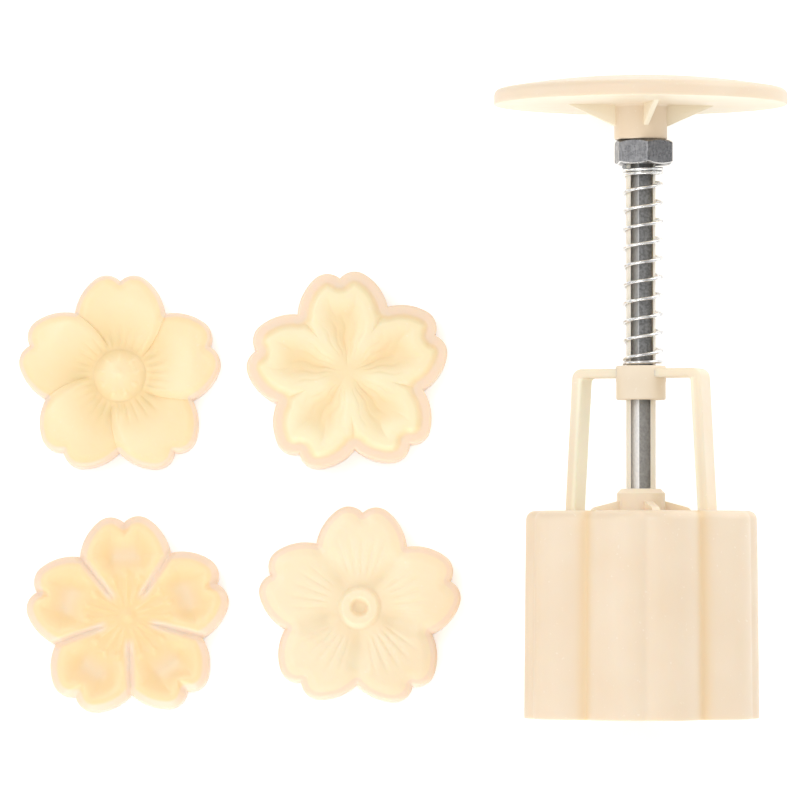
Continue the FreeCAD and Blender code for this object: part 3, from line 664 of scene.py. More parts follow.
def nut_rings():
    """Rings of the nut, and how near they lie to the lower chamfer's edge.

    Each outer ring is the smaller of the hexagon and the chamfer's cone at its height.
    """
    angle = np.linspace(0, 2 * math.pi, NUT_COLUMNS, endpoint=False)
    from_flat = (angle - NUT_TURN + math.pi / 6) % (math.pi / 3) - math.pi / 6
    hexagon = NUT_FLAT / np.cos(from_flat)
    hexagon = np.minimum(hexagon, NUT_CORNER - NUT_CORNER_WEAR)
    rise = np.linspace(0, 1, 9)[:, None]
    cone = NUT_END_RADIUS + (NUT_CORNER - NUT_END_RADIUS) * rise
    low = NUT_BOTTOM + NUT_CHAMFER * rise
    high = NUT_TOP - NUT_CHAMFER * rise[::-1]
    inner = NUT_BORE + NUT_BORE_CHAMFER * np.array([[1], [0], [0], [1]])
    inner_top, inner_bottom = NUT_TOP - NUT_BORE_CHAMFER, NUT_BOTTOM + NUT_BORE_CHAMFER
    inner_height = np.array([[NUT_TOP], [inner_top], [inner_bottom], [NUT_BOTTOM]])
    lower, upper = np.minimum(hexagon, cone), np.minimum(hexagon, cone[::-1])
    radius = np.concatenate([lower, upper, inner + 0 * angle])
    height = np.concatenate([low, high, inner_height]) + 0 * angle
    # Nearness to the lower chamfer's edge, where a white highlight is painted
    on_edge = np.zeros(radius.shape)
    on_cone = cone < hexagon + 0.05
    on_edge[:len(rise)] = np.exp(-((hexagon - cone) / CHAMFER_HIGHLIGHT_WIDTH) ** 2) * on_cone
    place = [radius * np.cos(angle) + NUT_SHIFT, radius * np.sin(angle), height]
    return np.stack(place, -1), on_edge


# Turned steel is a darker, finer grey than the bar, streaked by its scratches
nut_steel, nut_tree, nut_skin = plated(
    "turned_steel", NUT_LIGHT, NUT_DARK, spangle_mm=0.3, roughness=0.3, bite=0.3
)
along_flats = streaks(nut_tree, SCRATCH_WIDTH, SCRATCH_LENGTH)
scratches = spread(nut_tree, along_flats, 0.0, 0.5, start=0.45, end=0.7)
scratched = blended(nut_tree, scratches, nut_skin, SCRATCH)
# Painted highlight: white along the lower chamfer's edge
painted_highlight = blended(nut_tree, mark(nut_tree, "painted_highlight"), scratched, CHAMFER_PAINTED_HIGHLIGHT)
feed(nut_tree, {"Base Color": painted_highlight})
nut_points, nut_painted_highlight = nut_rings()
nut_piece = make("hexagon_spacer", [shell(laid(nut_points), loop=True)], nut_steel, sharp=20)
marked(nut_piece, "painted_highlight", nut_painted_highlight.ravel())
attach(nut_piece, "plunger")
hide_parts("spacer_nut")

# Return spring
# Compression spring coiled from 0.85 mm bright drawn wire, right-handed, closed at both ends. It
# stands on the hub's ring and pushes nut and handle up; in use the stroke shortens it, but it is
# drawn at one length.

WIRE_RADIUS = 0.425
COIL_RADIUS = 4.6
COIL_TURNS = 13.0
COIL_CLOSED_BOTTOM = 1.0
COIL_CLOSED_TOP = 2.0
COIL_CLOSED_PITCH = 0.92
COIL_SHIFT = 0.5
COIL_END_GAP = 0.1
COIL_EASE = 0.35
COIL_STEPS = 1100
WIRE_SIDES = 14
WIRE_LIGHT = "#EFEFED"
WIRE_DARK = "#CDCDCE"


def spring_rings():
    """Rings of the wire: a helix whose pitch grows smoothly from the end coils to the open ones.

    The pitch at each turn is summed into a height and stretched to span the seat and the nut.
    """
    turn = np.linspace(0, COIL_TURNS, COIL_STEPS)
    opening = np.clip((turn - COIL_CLOSED_BOTTOM) / COIL_EASE + 0.5, 0, 1)
    closing = np.clip((COIL_TURNS - COIL_CLOSED_TOP - turn) / COIL_EASE + 0.5, 0, 1)
    share = opening ** 2 * (3 - 2 * opening) * closing ** 2 * (3 - 2 * closing)
    low = HUB_TOP + COIL_END_GAP + WIRE_RADIUS
    high = NUT_BOTTOM - COIL_END_GAP - WIRE_RADIUS
    closed = COIL_CLOSED_PITCH * turn
    opened = np.concatenate([[0], np.cumsum((share[1:] + share[:-1]) / 2)])
    height = low + closed + (high - low - closed[-1]) * opened / opened[-1]
    angle = math.pi + 2 * math.pi * turn
    centre = np.stack([COIL_RADIUS * np.cos(angle), COIL_RADIUS * np.sin(angle), height], -1)
    out = np.stack([np.cos(angle), np.sin(angle), 0 * angle], -1)
    along = np.gradient(centre, axis=0)
    along /= np.linalg.norm(along, axis=-1, keepdims=True)
    side = np.cross(along, out)
    around = np.linspace(0, 2 * math.pi, WIRE_SIDES, endpoint=False)[None, :, None]
    wire = out[:, None] * np.cos(around) + side[:, None] * np.sin(around)
    return centre[:, None] + WIRE_RADIUS * wire + np.array([COIL_SHIFT, 0, 0])


# Drawn wire is the brightest and smoothest of the metals
spring_wire = plated(
    "bright_drawn_wire", WIRE_LIGHT, WIRE_DARK, spangle_mm=0.8, roughness=0.2, bite=0.15
)[0]
spring_piece = make("coil_spring", [shell(laid(spring_rings()))], spring_wire, sharp=60)
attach(spring_piece, "barrel")
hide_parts("return_spring")
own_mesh(spring_piece)

# Palm handle
# Round palm rest, thin and slightly domed, moulded in one with a boss for the stem and four
# stiffening gussets. Cream ABS like the barrel; the stem is pressed and glued into the boss.

HANDLE_RADIUS = 35.25
HANDLE_UNDERSIDE = 147.2
RIM_THICKNESS = 3.8
RIM_ROUND = 1.6
RIM_LOWER_ROUND = 0.4
HANDLE_DOME = 3.0
BOSS_RADIUS = 6.35
BOSS_BOTTOM = 138.8
BOSS_SEAT_ROUND = 0.3
BOSS_FOOT_ROUND = 0.5
BOSS_ROOT_ROUND = 0.6
SEAT_RADIUS = 3.6
SEAT_TOP = 146.5
NEAR_AXIS = 0.05
GUSSET_REACH = 18.0
GUSSET_DROP = 5.2
GUSSET_THICKNESS = 1.3
GUSSET_TURN = math.radians(10)
GUSSET_INTO_BOSS = 1.3
GUSSET_INTO_DISC = 0.5

# Painted glow on the gussets and the underside, fading in from the boss
UNDERSIDE_PAINTED_GLOW = 0.8
PAINTED_GLOW_FADE = 3
CROSSED_FADE = 6


def handle_path():
    """Half section of disc and boss: out of the seat, down its wall, up the boss and round the rim.

    The last part is a shallow spherical dome: its drop from the middle is the ball's sagitta at
    each radius. Two points that only aim the rim's round are left out.
    """
    rim_top = HANDLE_UNDERSIDE + RIM_THICKNESS
    edge = HANDLE_RADIUS - RIM_ROUND
    ball = (edge ** 2 + HANDLE_DOME ** 2) / (2 * HANDLE_DOME)
    lower = rounded(
        [
            (NEAR_AXIS, SEAT_TOP, 0),
            (SEAT_RADIUS, SEAT_TOP, 0),
            (SEAT_RADIUS, BOSS_BOTTOM, BOSS_SEAT_ROUND),
            (BOSS_RADIUS, BOSS_BOTTOM, BOSS_FOOT_ROUND),
            (BOSS_RADIUS, HANDLE_UNDERSIDE, BOSS_ROOT_ROUND),
            (HANDLE_RADIUS, HANDLE_UNDERSIDE, RIM_LOWER_ROUND),
            (HANDLE_RADIUS, rim_top, RIM_ROUND),
            (edge - 2, rim_top, 0),
        ],
        8,
    )[:-2]
    radius = np.linspace(edge, NEAR_AXIS, 40)
    drop = ball - np.sqrt(ball ** 2 - radius ** 2)
    dome = np.stack([radius, rim_top + HANDLE_DOME - drop], -1)
    return np.concatenate([lower, dome[1:]])


def blade_rings(corners, thickness, edge=0.35):
    """Rings of a flat rib in the xz plane: its outline at ten depths.

    At both faces it is drawn in along a quarter circle whose radius is the edge.
    """
    path = rounded(corners, 4, 0.1)
    middle = path.mean(0)
    away = path - middle
    drawn = middle + away * (1 - edge / np.linalg.norm(away, axis=-1, keepdims=True))
    half = thickness / 2
    bend = np.linspace(0, math.pi / 2, 5)
    share = np.concatenate([np.sin(bend), np.sin(bend)[::-1]])[:, None, None]
    flat = drawn + (path - drawn) * share
    into = edge * (1 - np.cos(bend))
    depth = np.concatenate([-half + into, half - into[::-1]])
    depth = np.broadcast_to(depth[:, None], flat.shape[:2])
    return np.stack([flat[..., 0], depth, flat[..., 1]], -1)


inside_boss = BOSS_RADIUS - GUSSET_INTO_BOSS
inside_disc = HANDLE_UNDERSIDE + GUSSET_INTO_DISC
gusset_foot = HANDLE_UNDERSIDE - GUSSET_DROP
gusset_corners = [
    (inside_boss, gusset_foot, 0.2),
    (BOSS_RADIUS, gusset_foot, 0.4),
    (GUSSET_REACH, HANDLE_UNDERSIDE, 0),
    (GUSSET_REACH, inside_disc, 0),
    (inside_boss, inside_disc, 0.2),
]
gusset = blade_rings(gusset_corners, GUSSET_THICKNESS)
quarter_turns = [GUSSET_TURN + quarter * math.pi / 2 for quarter in range(4)]
handle_shells = [shell(laid(turned(gusset, turn))) for turn in quarter_turns]
disc_rings = lathed(handle_path(), 240)
handle_shells.append(shell(laid(disc_rings)))
handle_piece = make("palm_rest", handle_shells, abs_cream)
# The gussets and the disc's underside get a painted glow for the light that would come through
# them. In the mesh the gussets come first, and the disc's end points last.
disc_reach = np.hypot(disc_rings[..., 0], disc_rings[..., 1])
disc_under = disc_rings[..., 2] < HANDLE_UNDERSIDE + 0.05
disc_painted_glow = UNDERSIDE_PAINTED_GLOW * fade(disc_reach, BOSS_RADIUS, BOSS_RADIUS + PAINTED_GLOW_FADE) * disc_under
disc_crossed = (1 - fade(disc_reach, GUSSET_REACH, GUSSET_REACH + CROSSED_FADE)) * disc_under
gusset_points = sum(len(part[0]) for part in handle_shells[:-1])
gussets_painted_glow = np.full(gusset_points, UNDERSIDE_PAINTED_GLOW)
gussets_crossed = np.ones(gusset_points)
handle_painted_glow = np.concatenate([gussets_painted_glow, disc_painted_glow.ravel(), end_points])
handle_crossed = np.concatenate([gussets_crossed, disc_crossed.ravel(), end_points])
marked(handle_piece, "painted_glow", handle_painted_glow)
marked(handle_piece, "crossed", handle_crossed)
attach(handle_piece, "plunger")
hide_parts("palm_handle")

# Stamps
# Four loose blossom-shaped stamps, lying face up: thin shells with a relief on top and a bayonet
# socket behind. Injection moulded in a glossier, yellower and slightly milky ABS; each rests on its
# skirt. A stamp's place is the x and y of its middle from the press's foot in mm, and its turn.

FACE_HEIGHT = 7.6
SKIRT_DEPTH = 5.6
STAMP_WALL = 1.8
FLOOR_RELIEF = 0.3
HUB_WALL_RADIUS = 8.1
SOCKET_BORE = 5.15
SOCKET_ENTRY = 6.5
SOCKET_ENTRY_HALF = 1.6
SOCKET_ENTRY_GAP = 0.02
SOCKET_LIP_TOP = 2.7
SKIRT_STEP = 2.4
FOOT_ROUND = 0.25
FOOT_MIDDLE = 0.08
BACK_MIDDLE = 0.1
STAMP_RIB_HALF = 0.6
RIB_INTO_HUB = 0.5
RIB_INTO_WALL = 0.4
RIB_INTO_FACE = 0.3
RIB_ROUND = 0.1
STAMP_COLUMNS = 600
STAMP_FACE_RINGS = 104
STAMP_FIRST_RING = 0.004

STAMP_LIGHT = "#FFECC8"
STAMP_CLOUD = "#FFE8C1"
# Painted shade: deeper orange in the hollows, pinker at the edges; the pink also tints the ring
# stamp
STAMP_HOLLOW_SHADE = "#FFD69F"
STAMP_EDGE_SHADE_AND_TINT = "#F8DDC4"


def mound(distance, width):
    """Round mound: 1 at no distance, a third at its width and nearly nothing at twice that."""
    return np.exp(-(distance / width) ** 2)


def on_face(x, y):
    """Radius, turn from +y, angle off the petal's middle and distance to the edge, of face points.

    The turn is clockwise. The distance is the least of those to the notch, the valley and the arcs
    that the point faces.
    """
    radius = np.hypot(x, y)
    turn = np.arctan2(x, y)
    angle = (turn + HALF_PETAL) % (2 * HALF_PETAL) - HALF_PETAL
    along, across = radius * np.cos(angle), radius * np.sin(np.abs(angle))
    inset = np.hypot(along - NOTCH[0], across - NOTCH[1])
    inset = np.minimum(inset, np.hypot(along - VALLEY[0], across - VALLEY[1]))
    joint = LOBE + TO_JOINT * LOBE_RADIUS
    arcs = ((LOBE, LOBE_RADIUS, NOTCH, joint), (FLANK, FLANK_RADIUS, joint, VALLEY))
    for centre, size, first, last in arcs:
        here_x, here_y = along - centre[0], across - centre[1]
        past_first = (first - centre)[0] * here_y - (first - centre)[1] * here_x > 0
        before_last = here_x * (last - centre)[1] - here_y * (last - centre)[0] > 0
        to_arc = np.abs(size - np.hypot(here_x, here_y))
        inset = np.where(past_first & before_last, np.minimum(inset, to_arc), inset)
    return radius, turn, angle, inset


def from_seam(radius, angle):
    """Distance from the line between two petals, by radius and angle off the petal's middle."""
    return radius * np.sin(HALF_PETAL - np.abs(angle))


def band(value, low, full, falling, past):
    """Smooth plateau: 0 up to low, 1 between full and falling, and 0 again from past."""
    return fade(value, low, full) * (1 - fade(value, falling, past))


def lines(turn, count, sharpness):
    """Evenly spaced radial lines: 1 on each line, 0 between them."""
    return (0.5 + 0.5 * np.cos(count * turn)) ** sharpness


def stamp_shift(place):
    """From a stamp's middle to the row's, in mm."""
    return np.array([place[0] + PRESS_PLACE[0], place[1] + PRESS_PLACE[1], 0.0])


def stamp_shells(relief, edge, place):
    """Skins of a stamp: from the face's middle round the skirt to the socket's end, and five ribs.

    The face's rings are shares of the outline drawn in by the edge radius. The edge rings follow a
    quarter circle. Skirt, hollow and socket are rings of the blossom and of circles.
    """
    angle = np.linspace(0, 2 * math.pi, STAMP_COLUMNS, endpoint=False)
    share = np.linspace(0, 1, STAMP_FACE_RINGS)[:, None]
    share = np.maximum(share, STAMP_FIRST_RING)
    face = share * outline(angle, -edge)
    bend = np.linspace(0, math.pi / 2, 9)[1:, None]
    brim = outline(angle, -edge + edge * np.sin(bend))
    radius = np.concatenate([face, brim])
    drop = np.concatenate([0 * face, edge * (1 - np.cos(bend)) + 0 * brim])
    x, y = radius * np.sin(angle), radius * np.cos(angle)
    top = np.stack([x, y, FACE_HEIGHT + relief(x, y) - drop], -1)
    below = [
        (0.0, FACE_HEIGHT - edge - SKIRT_STEP),
        (0.0, FOOT_ROUND),
        (-FOOT_MIDDLE, FOOT_MIDDLE),
        (-FOOT_ROUND, 0.0),
        (FOOT_ROUND - STAMP_WALL, 0.0),
        (FOOT_MIDDLE - STAMP_WALL, FOOT_MIDDLE),
        (-STAMP_WALL, FOOT_ROUND),
        (-STAMP_WALL, SKIRT_DEPTH),
        (HUB_WALL_RADIUS - ROUND_CODE, SKIRT_DEPTH),
        (HUB_WALL_RADIUS - ROUND_CODE, FLOOR_RELIEF),
        (SOCKET_BORE - ROUND_CODE, FLOOR_RELIEF),
        (SOCKET_BORE - ROUND_CODE, SOCKET_LIP_TOP),
        (SOCKET_ENTRY - ROUND_CODE, SOCKET_LIP_TOP),
        (SOCKET_ENTRY - ROUND_CODE, SKIRT_DEPTH),
        (BACK_MIDDLE - ROUND_CODE, SKIRT_DEPTH),
    ]
    under = ringed(np.array(below), STAMP_COLUMNS, 0)[:, ::-1]
    across = np.abs(np.sin(np.arctan2(under[..., 1], under[..., 0])))
    reach = np.clip(SOCKET_ENTRY_HALF / np.maximum(across, 0.01), SOCKET_BORE, SOCKET_ENTRY)
    is_lip = np.abs(np.hypot(under[..., 0], under[..., 1]) - SOCKET_BORE) < 0.01
    reach = np.minimum(reach, SOCKET_ENTRY - SOCKET_ENTRY_GAP)
    grow = np.where(is_lip, reach / SOCKET_BORE, 1)
    under[..., :2] *= grow[..., None]
    rings = np.concatenate([top, under])[::-1, ::-1]
    hub_end = HUB_WALL_RADIUS - RIB_INTO_HUB
    wall_end = VALLEY_RADIUS - STAMP_WALL + RIB_INTO_WALL
    rib_top = SKIRT_DEPTH + RIB_INTO_FACE
    rib_corners = [
        (hub_end, FLOOR_RELIEF, RIB_ROUND),
        (wall_end, FLOOR_RELIEF, RIB_ROUND),
        (wall_end, rib_top, RIB_ROUND),
        (hub_end, rib_top, RIB_ROUND),
    ]
    rib = blade_rings(rib_corners, 2 * STAMP_RIB_HALF, RIB_ROUND)
    rib_turns = [math.pi / 2 + HALF_PETAL * (2 * number + 1) for number in range(PETALS)]
    parts = [shell(rings)] + [shell(turned(rib, rib_turn)) for rib_turn in rib_turns]
    turn, shift = math.radians(place[2]), stamp_shift(place)
    return [(MM * (turned(points, turn) + shift), faces) for points, faces in parts]


def shaded(piece, relief, place, low, high, border, pink=None):
    """Stores on each point how high the relief stands there, and how near the edge it is.

    The first runs from 0 at the height low to 1 at high, and the second from 0 inside the border's
    width to 1 at the edge. Where pink(x, y) is more than the second, it stands in for it.
    """
    points = np.empty(3 * len(piece.data.vertices))
    piece.data.vertices.foreach_get("co", points)
    upright_face = points.reshape(-1, 3) / MM - stamp_shift(place)
    x, y, height = np.moveaxis(turned(upright_face, -math.radians(place[2])), -1, 0)
    on_top = height > SKIRT_DEPTH
    edge = 1 - fade(on_face(x, y)[3], 0.6 * border, border)
    if pink:
        edge = np.maximum(edge, pink(x, y))
    # These two marks carry the painted shade of the hollows and of the edge
    marked(piece, "raised", np.clip((relief(x, y) - low) / (high - low), 0, 1) * on_top)
    marked(piece, "border", np.where(on_top, edge, 1))


# Glossy, milky yellow ABS. The hollows carry a painted shade of deeper orange, and the thin edge
# and the stamen stamp's grooves and dishes a pinker painted shade; that pink also tints the ring
# stamp a little all over.
stamp_plastic, stamp_tree, stamp_skin = moulded(
    "stamp_abs", STAMP_LIGHT, STAMP_CLOUD, roughness=0.36, soak=0.5
)
sunken = blended(stamp_tree, mark(stamp_tree, "raised"), STAMP_HOLLOW_SHADE, stamp_skin)
edged = blended(stamp_tree, mark(stamp_tree, "border"), sunken, STAMP_EDGE_SHADE_AND_TINT)
feed(stamp_tree, {"Base Color": edged})


def stamp(name, relief, place, edge, **shades):
    """New stamp of this relief at its place, with an edge radius in mm and its shades stored."""
    piece = make(name, stamp_shells(relief, edge, place), stamp_plastic)
    shaded(piece, relief, place, **shades)
    return piece


# Pinwheel stamp
# Five cupped petals, each lapping over the next clockwise, round a low dome with a nub and fine
# radial grooves. One moulding of the stamps' ABS, lying loose.

PINWHEEL_FLOOR = 1.6
BOWL_DEPTH = 1.4
ROLL_DEPTH = 0.5
LAP_RISE = 0.65
LAP_ARC_RADIUS = 48
GROOVE_COUNT = 30
GROOVE_DEPTH = 0.13
DOME_RADIUS = 6.6
DOME_RISE = 1.8
DOME_POWER = 2.6
ANTHER_COUNT = 9
ANTHER_RING = 4.6
ANTHER_RISE = 0.22
NUB_RISE = 0.45


def pinwheel_relief(x, y):
    """Height over the face: a bowl that deepens to the middle, a lap across each petal, and a dome.

    The laps' edges start at the valleys and drift clockwise as they run inwards, like arcs of a
    large circle.
    """
    radius, turn, _, inset = on_face(x, y)
    drift = math.asin(VALLEY_RADIUS / LAP_ARC_RADIUS) - np.arcsin(radius / LAP_ARC_RADIUS)
    share = (turn - HALF_PETAL - drift) % (2 * HALF_PETAL) / (2 * HALF_PETAL)
    climb = band(share, 0.2, 0.87, 0.88, 1.0) - 0.5 * (1 - fade(share, 0.0, 0.45))
    lap = LAP_RISE * climb * fade(radius, 6.0, 10.0) * (1 - 0.7 * fade(radius, 17.5, 22.0))
    bowl = -BOWL_DEPTH * (1 - fade(radius, 5.0, 18.0))
    roll = -ROLL_DEPTH * (1 - fade(inset, 0.0, 2.8))
    grooves = -GROOVE_DEPTH * lines(turn, GROOVE_COUNT, 2) * band(radius, 6.6, 8.0, 9.5, 13.5)
    petals = np.maximum(bowl + lap + roll + grooves - 0.1, -PINWHEEL_FLOOR)
    swell = np.clip(1 - (radius / DOME_RADIUS) ** DOME_POWER, 0, 1)
    dome = -PINWHEEL_FLOOR + DOME_RISE * swell
    anthers = ANTHER_RISE * mound(radius - ANTHER_RING, 0.8) * lines(turn, ANTHER_COUNT, 3)
    nub = NUB_RISE * mound(radius, 1.3)
    return np.where(radius < DOME_RADIUS, np.maximum(dome, petals), petals) + anthers + nub


PINWHEEL_PLACE = (-126.3, 84.3, -0.3)
pinwheel_shades = {"low": -1.6, "high": 1.15, "border": 1.4}
pinwheel_piece = stamp(
    "pinwheel_face_stamp", pinwheel_relief, PINWHEEL_PLACE, edge=1.1, **pinwheel_shades
)
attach(pinwheel_piece, "pinwheel")
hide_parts("pinwheel_stamp")

# Heart-rimmed stamp
# A plain border round five heart-shaped petals, each a hollow with streaks inside a rounded raised
# rim. One moulding of the stamps' ABS, lying loose.

HEART_BORDER = 2.9
HEART_LOW = 0.5
HEART_RIM_RISE = 0.9
HEART_HOLLOW = 0.7
HEART_MIDDLE = 0.6
CREASE_DEPTH = 0.3
STREAK_COUNT = 30
STREAK_DEPTH = 0.1
STREAK_WAVE = 0.03


def heart_relief(x, y):
    """Height over the face: a low border, a round rim where the way into the heart is short, a dip.

    The way in is the lesser of the distance past the border and the distance from the line between
    petals, which the rims of neighbours share near the middle.
    """
    radius, turn, angle, inset = on_face(x, y)
    beside = from_seam(radius, angle) + 1.5 * (1 - fade(radius, 8.0, 16.0))
    past_border = inset - HEART_BORDER
    depth = (past_border + beside - np.sqrt((past_border - beside) ** 2 + 0.8)) / 2
    rim = -HEART_LOW + HEART_RIM_RISE * fade(depth, -0.8, 1.2)
    hollow = -HEART_HOLLOW * fade(depth, 2.0, 6.5)
    crease = -CREASE_DEPTH * mound(angle * radius, 2.4) * band(radius, 2.0, 7.0, 10.0, 16.5)
    wavy = lines(turn + STREAK_WAVE * np.sin(radius), STREAK_COUNT, 2)
    streaks = -STREAK_DEPTH * wavy * fade(depth, 1.2, 3.5) * band(radius, 3.0, 6.0, 11.0, 16.0)
    middle = -HEART_MIDDLE * (1 - fade(radius, 1.5, 8.0))
    return rim + hollow + crease + middle + streaks


HEART_PLACE = (-70.5, 85.0, 5.0)
heart_shades = {"low": -1.1, "high": 0.4, "border": 3.0}
heart_piece = stamp("heart_face_stamp", heart_relief, HEART_PLACE, edge=0.6, **heart_shades)
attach(heart_piece, "heart")
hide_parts("heart_stamp")

# Stamen stamp
# Notched petals with a broad rounded rim, a deep dish near each tip and three stamens with dotted
# ends. One moulding of the stamps' ABS, lying loose.

RIM_RISE = 0.7
RIM_INSET = 2.9
EDGE_DROP = 0.5
DISH_RADIUS = 15.2
DISH_DEPTH = 0.85
NOTCH_START = 18.6
NOTCH_DEPTH = 0.6
SEAM_DEPTH = 0.65
STAMEN_MIDDLE = 0.4
STAMEN_LEAN = math.radians(19)
STAMEN_REACH = 10.5
SIDE_STAMEN_REACH = 9.8
FILAMENT_RISE = 0.15
DOT_RISE = 0.35
MIDDLE_DOT_RISE = 0.6
STAMEN_FLOOR = 1.8


def stamen_relief(x, y):
    """Height over the face: a rim along the edge, dishes, grooves by the petals, stamens and a dot.

    The notch at each tip is a groove whose width grows outwards from nothing.
    """
    radius, _, angle, inset = on_face(x, y)
    beside = from_seam(radius, angle)
    across = np.abs(angle) * radius
    depth = np.minimum(inset, beside + 0.9)
    rim = RIM_RISE * mound(depth - RIM_INSET, 1.9) * fade(radius, 8.0, 15.0)
    roll = -EDGE_DROP * (1 - fade(inset, 0.0, 1.9))
    dish = -DISH_DEPTH * mound(radius - DISH_RADIUS, 3.0) * (1 - fade(across, 2.6, 6.8))
    notch_half = np.maximum((radius - NOTCH_START) * 0.34, 0.02)
    notch = -NOTCH_DEPTH * (1 - fade(across / notch_half, 0.2, 1.6)) * fade(radius, 19.0, 21.6)
    groove_half = 0.3 + 0.35 * fade(radius, 6.0, 13.0)
    groove = -SEAM_DEPTH * (1 - fade(beside / groove_half, 0.0, 2.2)) * fade(radius, 4.8, 9.0)
    middle = -STAMEN_MIDDLE * (1 - fade(radius, 7.0, 13.0))
    relief = rim + roll + dish + notch + groove + middle
    reaches = (SIDE_STAMEN_REACH, STAMEN_REACH, SIDE_STAMEN_REACH)
    for lean, reach in zip((-STAMEN_LEAN, 0.0, STAMEN_LEAN), reaches):
        off = (angle - lean) * radius
        along = band(radius, 2.0, 4.0, reach - 1, reach + 0.4)
        dot = DOT_RISE * mound(np.hypot(off, radius - reach), 0.85)
        relief = relief + FILAMENT_RISE * mound(off, 0.5) * along + dot
    return np.maximum(relief + MIDDLE_DOT_RISE * mound(radius, 1.3), -STAMEN_FLOOR)


def stamen_painted_shade(x, y):
    """Painted shade: how pink the face is, fully in the grooves between petals and less in the
    dishes.
    """
    radius, _, angle, _ = on_face(x, y)
    groove = (1 - fade(from_seam(radius, angle), 0.5, 1.7)) * fade(radius, 4.5, 7.5)
    beside_middle = np.abs(angle) * radius
    dish = 0.55 * mound(radius - DISH_RADIUS, 2.6) * (1 - fade(beside_middle, 1.6, 5.0))
    return np.maximum(groove, dish)


STAMEN_PLACE = (-124.0, 25.2, 2.7)
stamen_shades = {"low": -0.6, "high": 3.2, "border": 2.2, "pink": stamen_painted_shade}
stamen_piece = stamp("stamen_face_stamp", stamen_relief, STAMEN_PLACE, edge=0.6, **stamen_shades)
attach(stamen_piece, "stamen")
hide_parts("stamen_stamp")

# Ring stamp
# Five smooth, full petals with fine veins and hollows between them, round a small raised ring.
# One moulding of the stamps' ABS, lying loose.

SWELL_RISE = 1.3
SWELL_LOW = 0.8
SWELL_ROLL = 0.7
HOLLOW_DEPTH = 0.7
VEIN_COUNT = 35
VEIN_DEPTH = 0.18
RING_RISE = 1.15
RING_WELL = 0.2
RING_PINK = 0.35


def ring_relief(x, y):
    """Height over the face: petals that swell outwards and roll off, hollows, veins and a ring."""
    radius, turn, angle, inset = on_face(x, y)
    swell = -SWELL_LOW + SWELL_RISE * fade(radius, 3.0, 16.5)
    roll = -SWELL_ROLL * (1 - fade(inset, 0.0, 4.0))
    wide = 1.2 + 2.0 * mound(radius - 11.5, 4.5)
    between = mound(from_seam(radius, angle), wide) * fade(radius, 3.5, 9.5)
    hollow = -HOLLOW_DEPTH * between * (1 - 0.75 * fade(radius, 13.0, 18.5))
    within = 1 - fade(np.abs(angle), 0.28, 0.46)
    fine = lines(turn, VEIN_COUNT, 2) * within * band(radius, 7.0, 10.0, 14.0, 18.5)
    ring = RING_RISE * (fade(radius, 1.4, 2.6) - fade(radius, 4.0, 5.4))
    well = -RING_WELL * (1 - fade(radius, 1.0, 2.0))
    return swell + roll + hollow - VEIN_DEPTH * fine + ring + well


def ring_pink(x, y):
    """How pink the face is: a little, all over."""
    return np.full(x.shape, RING_PINK)


RING_PLACE = (-67.7, 27.6, -2.0)
ring_shades = {"low": -1.7, "high": -0.2, "border": 2.2, "pink": ring_pink}
ring_piece = stamp("ring_face_stamp", ring_relief, RING_PLACE, edge=1.0, **ring_shades)
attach(ring_piece, "ring")
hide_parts("ring_stamp")

# Floor and light
# A pale sheet that runs under the whole set, and soft daylight from the upper left.
# The sheet is matt white paper, and the light is an even white sky with four square lamps.

SHEET = "#F2F1EF"
SHEET_GLOW = 0.4
SHEET_HALF = 3.0
SHEET_DROP = 0.0002
WHITE = "#FFFFFF"
SKY_STRENGTH = 0.67
MIDDLE = (0, 0, 0.02)


def floor_surface():
    """Matt sheet: lit as paper, with light of its own to eyes and mirrors, so it reads as white."""
    material = bpy.data.materials.new("white_sheet")
    material.use_nodes = True
    tree = material.node_tree
    tree.nodes.clear()
    paper = add(tree, "ShaderNodeBsdfDiffuse", {"Color": linear(SHEET)})
    glow = add(tree, "ShaderNodeEmission", {"Color": linear(WHITE), "Strength": SHEET_GLOW})
    both = add(tree, "ShaderNodeAddShader", links={0: paper.outputs[0], 1: glow.outputs[0]})
    path = add(tree, "ShaderNodeLightPath")
    seen = path.outputs["Is Camera Ray"]
    for ray in ("Is Glossy Ray", "Is Transmission Ray"):
        rays = {0: seen, 1: path.outputs[ray]}
        seen = add(tree, "ShaderNodeMath", {"operation": "MAXIMUM"}, rays).outputs[0]
    shaders = {0: seen, 1: paper.outputs[0], 2: both.outputs[0]}
    mixed = add(tree, "ShaderNodeMixShader", links=shaders)
    add(tree, "ShaderNodeOutputMaterial", links={"Surface": mixed.outputs[0]})
    return material


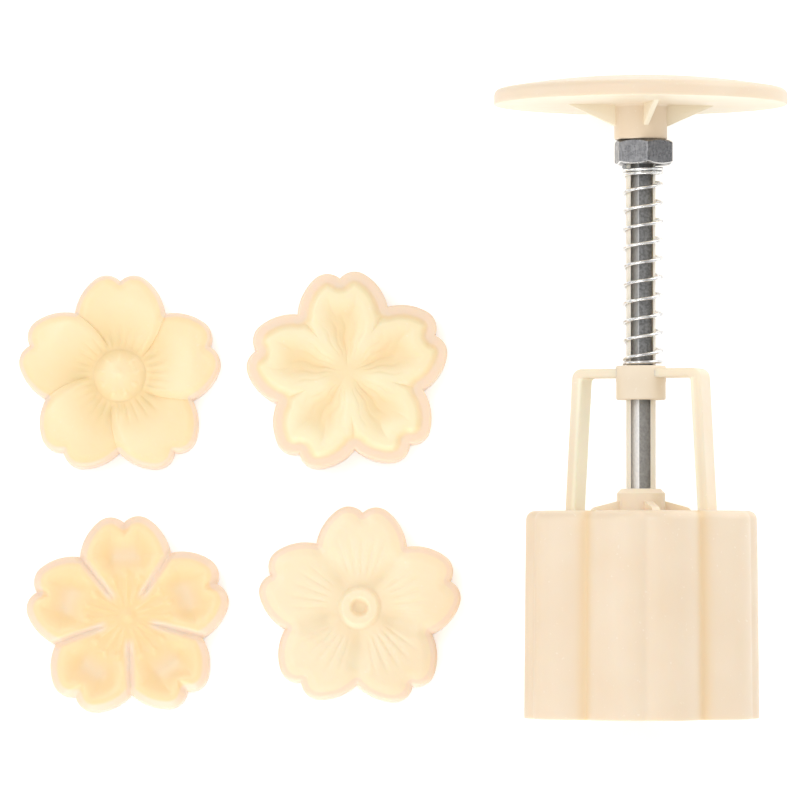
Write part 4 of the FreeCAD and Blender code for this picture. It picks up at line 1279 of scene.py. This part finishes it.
floor_mesh = bpy.data.meshes.new("sheet")
floor_corners = [(x * SHEET_HALF, y * SHEET_HALF, -SHEET_DROP) for x, y in square]
floor_mesh.from_pydata(floor_corners, [], [(0, 1, 2, 3)])
floor_mesh.materials.append(floor_surface())
floor = bpy.data.objects.new("sheet", floor_mesh)
bpy.context.scene.collection.objects.link(floor)

world = bpy.data.worlds.new("daylight")
bpy.context.scene.world = world
world.use_nodes = True
world_tree = world.node_tree
world_tree.nodes.clear()
sky_settings = {"Color": linear(WHITE), "Strength": SKY_STRENGTH}
sky = add(world_tree, "ShaderNodeBackground", sky_settings)
add(world_tree, "ShaderNodeOutputWorld", links={"Surface": sky.outputs[0]})


def softbox(name, place, aim, size, power):
    """Square area lamp, its size in metres and its power in watts, at a place, aimed at a point."""
    lamp = bpy.data.lights.new(name, "AREA")
    lamp.shape = "SQUARE"
    lamp.size = size
    lamp.energy = power
    lit = bpy.data.objects.new(name, lamp)
    bpy.context.scene.collection.objects.link(lit)
    lit.location = place
    toward = np.array(aim, float) - np.array(place, float)
    level = math.hypot(toward[0], toward[1])
    heading = math.atan2(toward[1], toward[0]) - math.pi / 2
    lit.rotation_euler = (math.atan2(level, -toward[2]), 0, heading)


softbox("key", (-0.38, 0.27, 0.98), MIDDLE, size=0.5, power=2.3)
softbox("side", (-0.95, 0.1, 0.6), (0.06, 0.03, 0.02), size=0.5, power=1.2)
softbox("front", (-0.1, -0.95, 0.35), MIDDLE, size=0.8, power=5.0)
softbox("fill", (0.8, 0.65, 0.35), MIDDLE, size=0.8, power=4.3)

# Camera
# Long lens, almost straight above the set, 1.5 m away. The small tilt shows a little more of what
# faces the press's mouth than of what faces its handle.

CAMERA_TILT = math.radians(4.847)
CAMERA_PLACE = (-0.00003, -0.12822, 1.54264)
CAMERA_LENS = 284.4
CAMERA_SENSOR = 36.0
CAMERA_REACH = 10.0
camera_data = bpy.data.cameras.new("above")
camera_data.lens = CAMERA_LENS
camera_data.sensor_width = CAMERA_SENSOR
camera_data.clip_end = CAMERA_REACH
camera = bpy.data.objects.new("above", camera_data)
bpy.context.scene.collection.objects.link(camera)
camera.location = CAMERA_PLACE
camera.rotation_euler = (CAMERA_TILT, 0, 0)
bpy.context.scene.camera = camera
bpy.context.scene.view_settings.view_transform = "Standard"
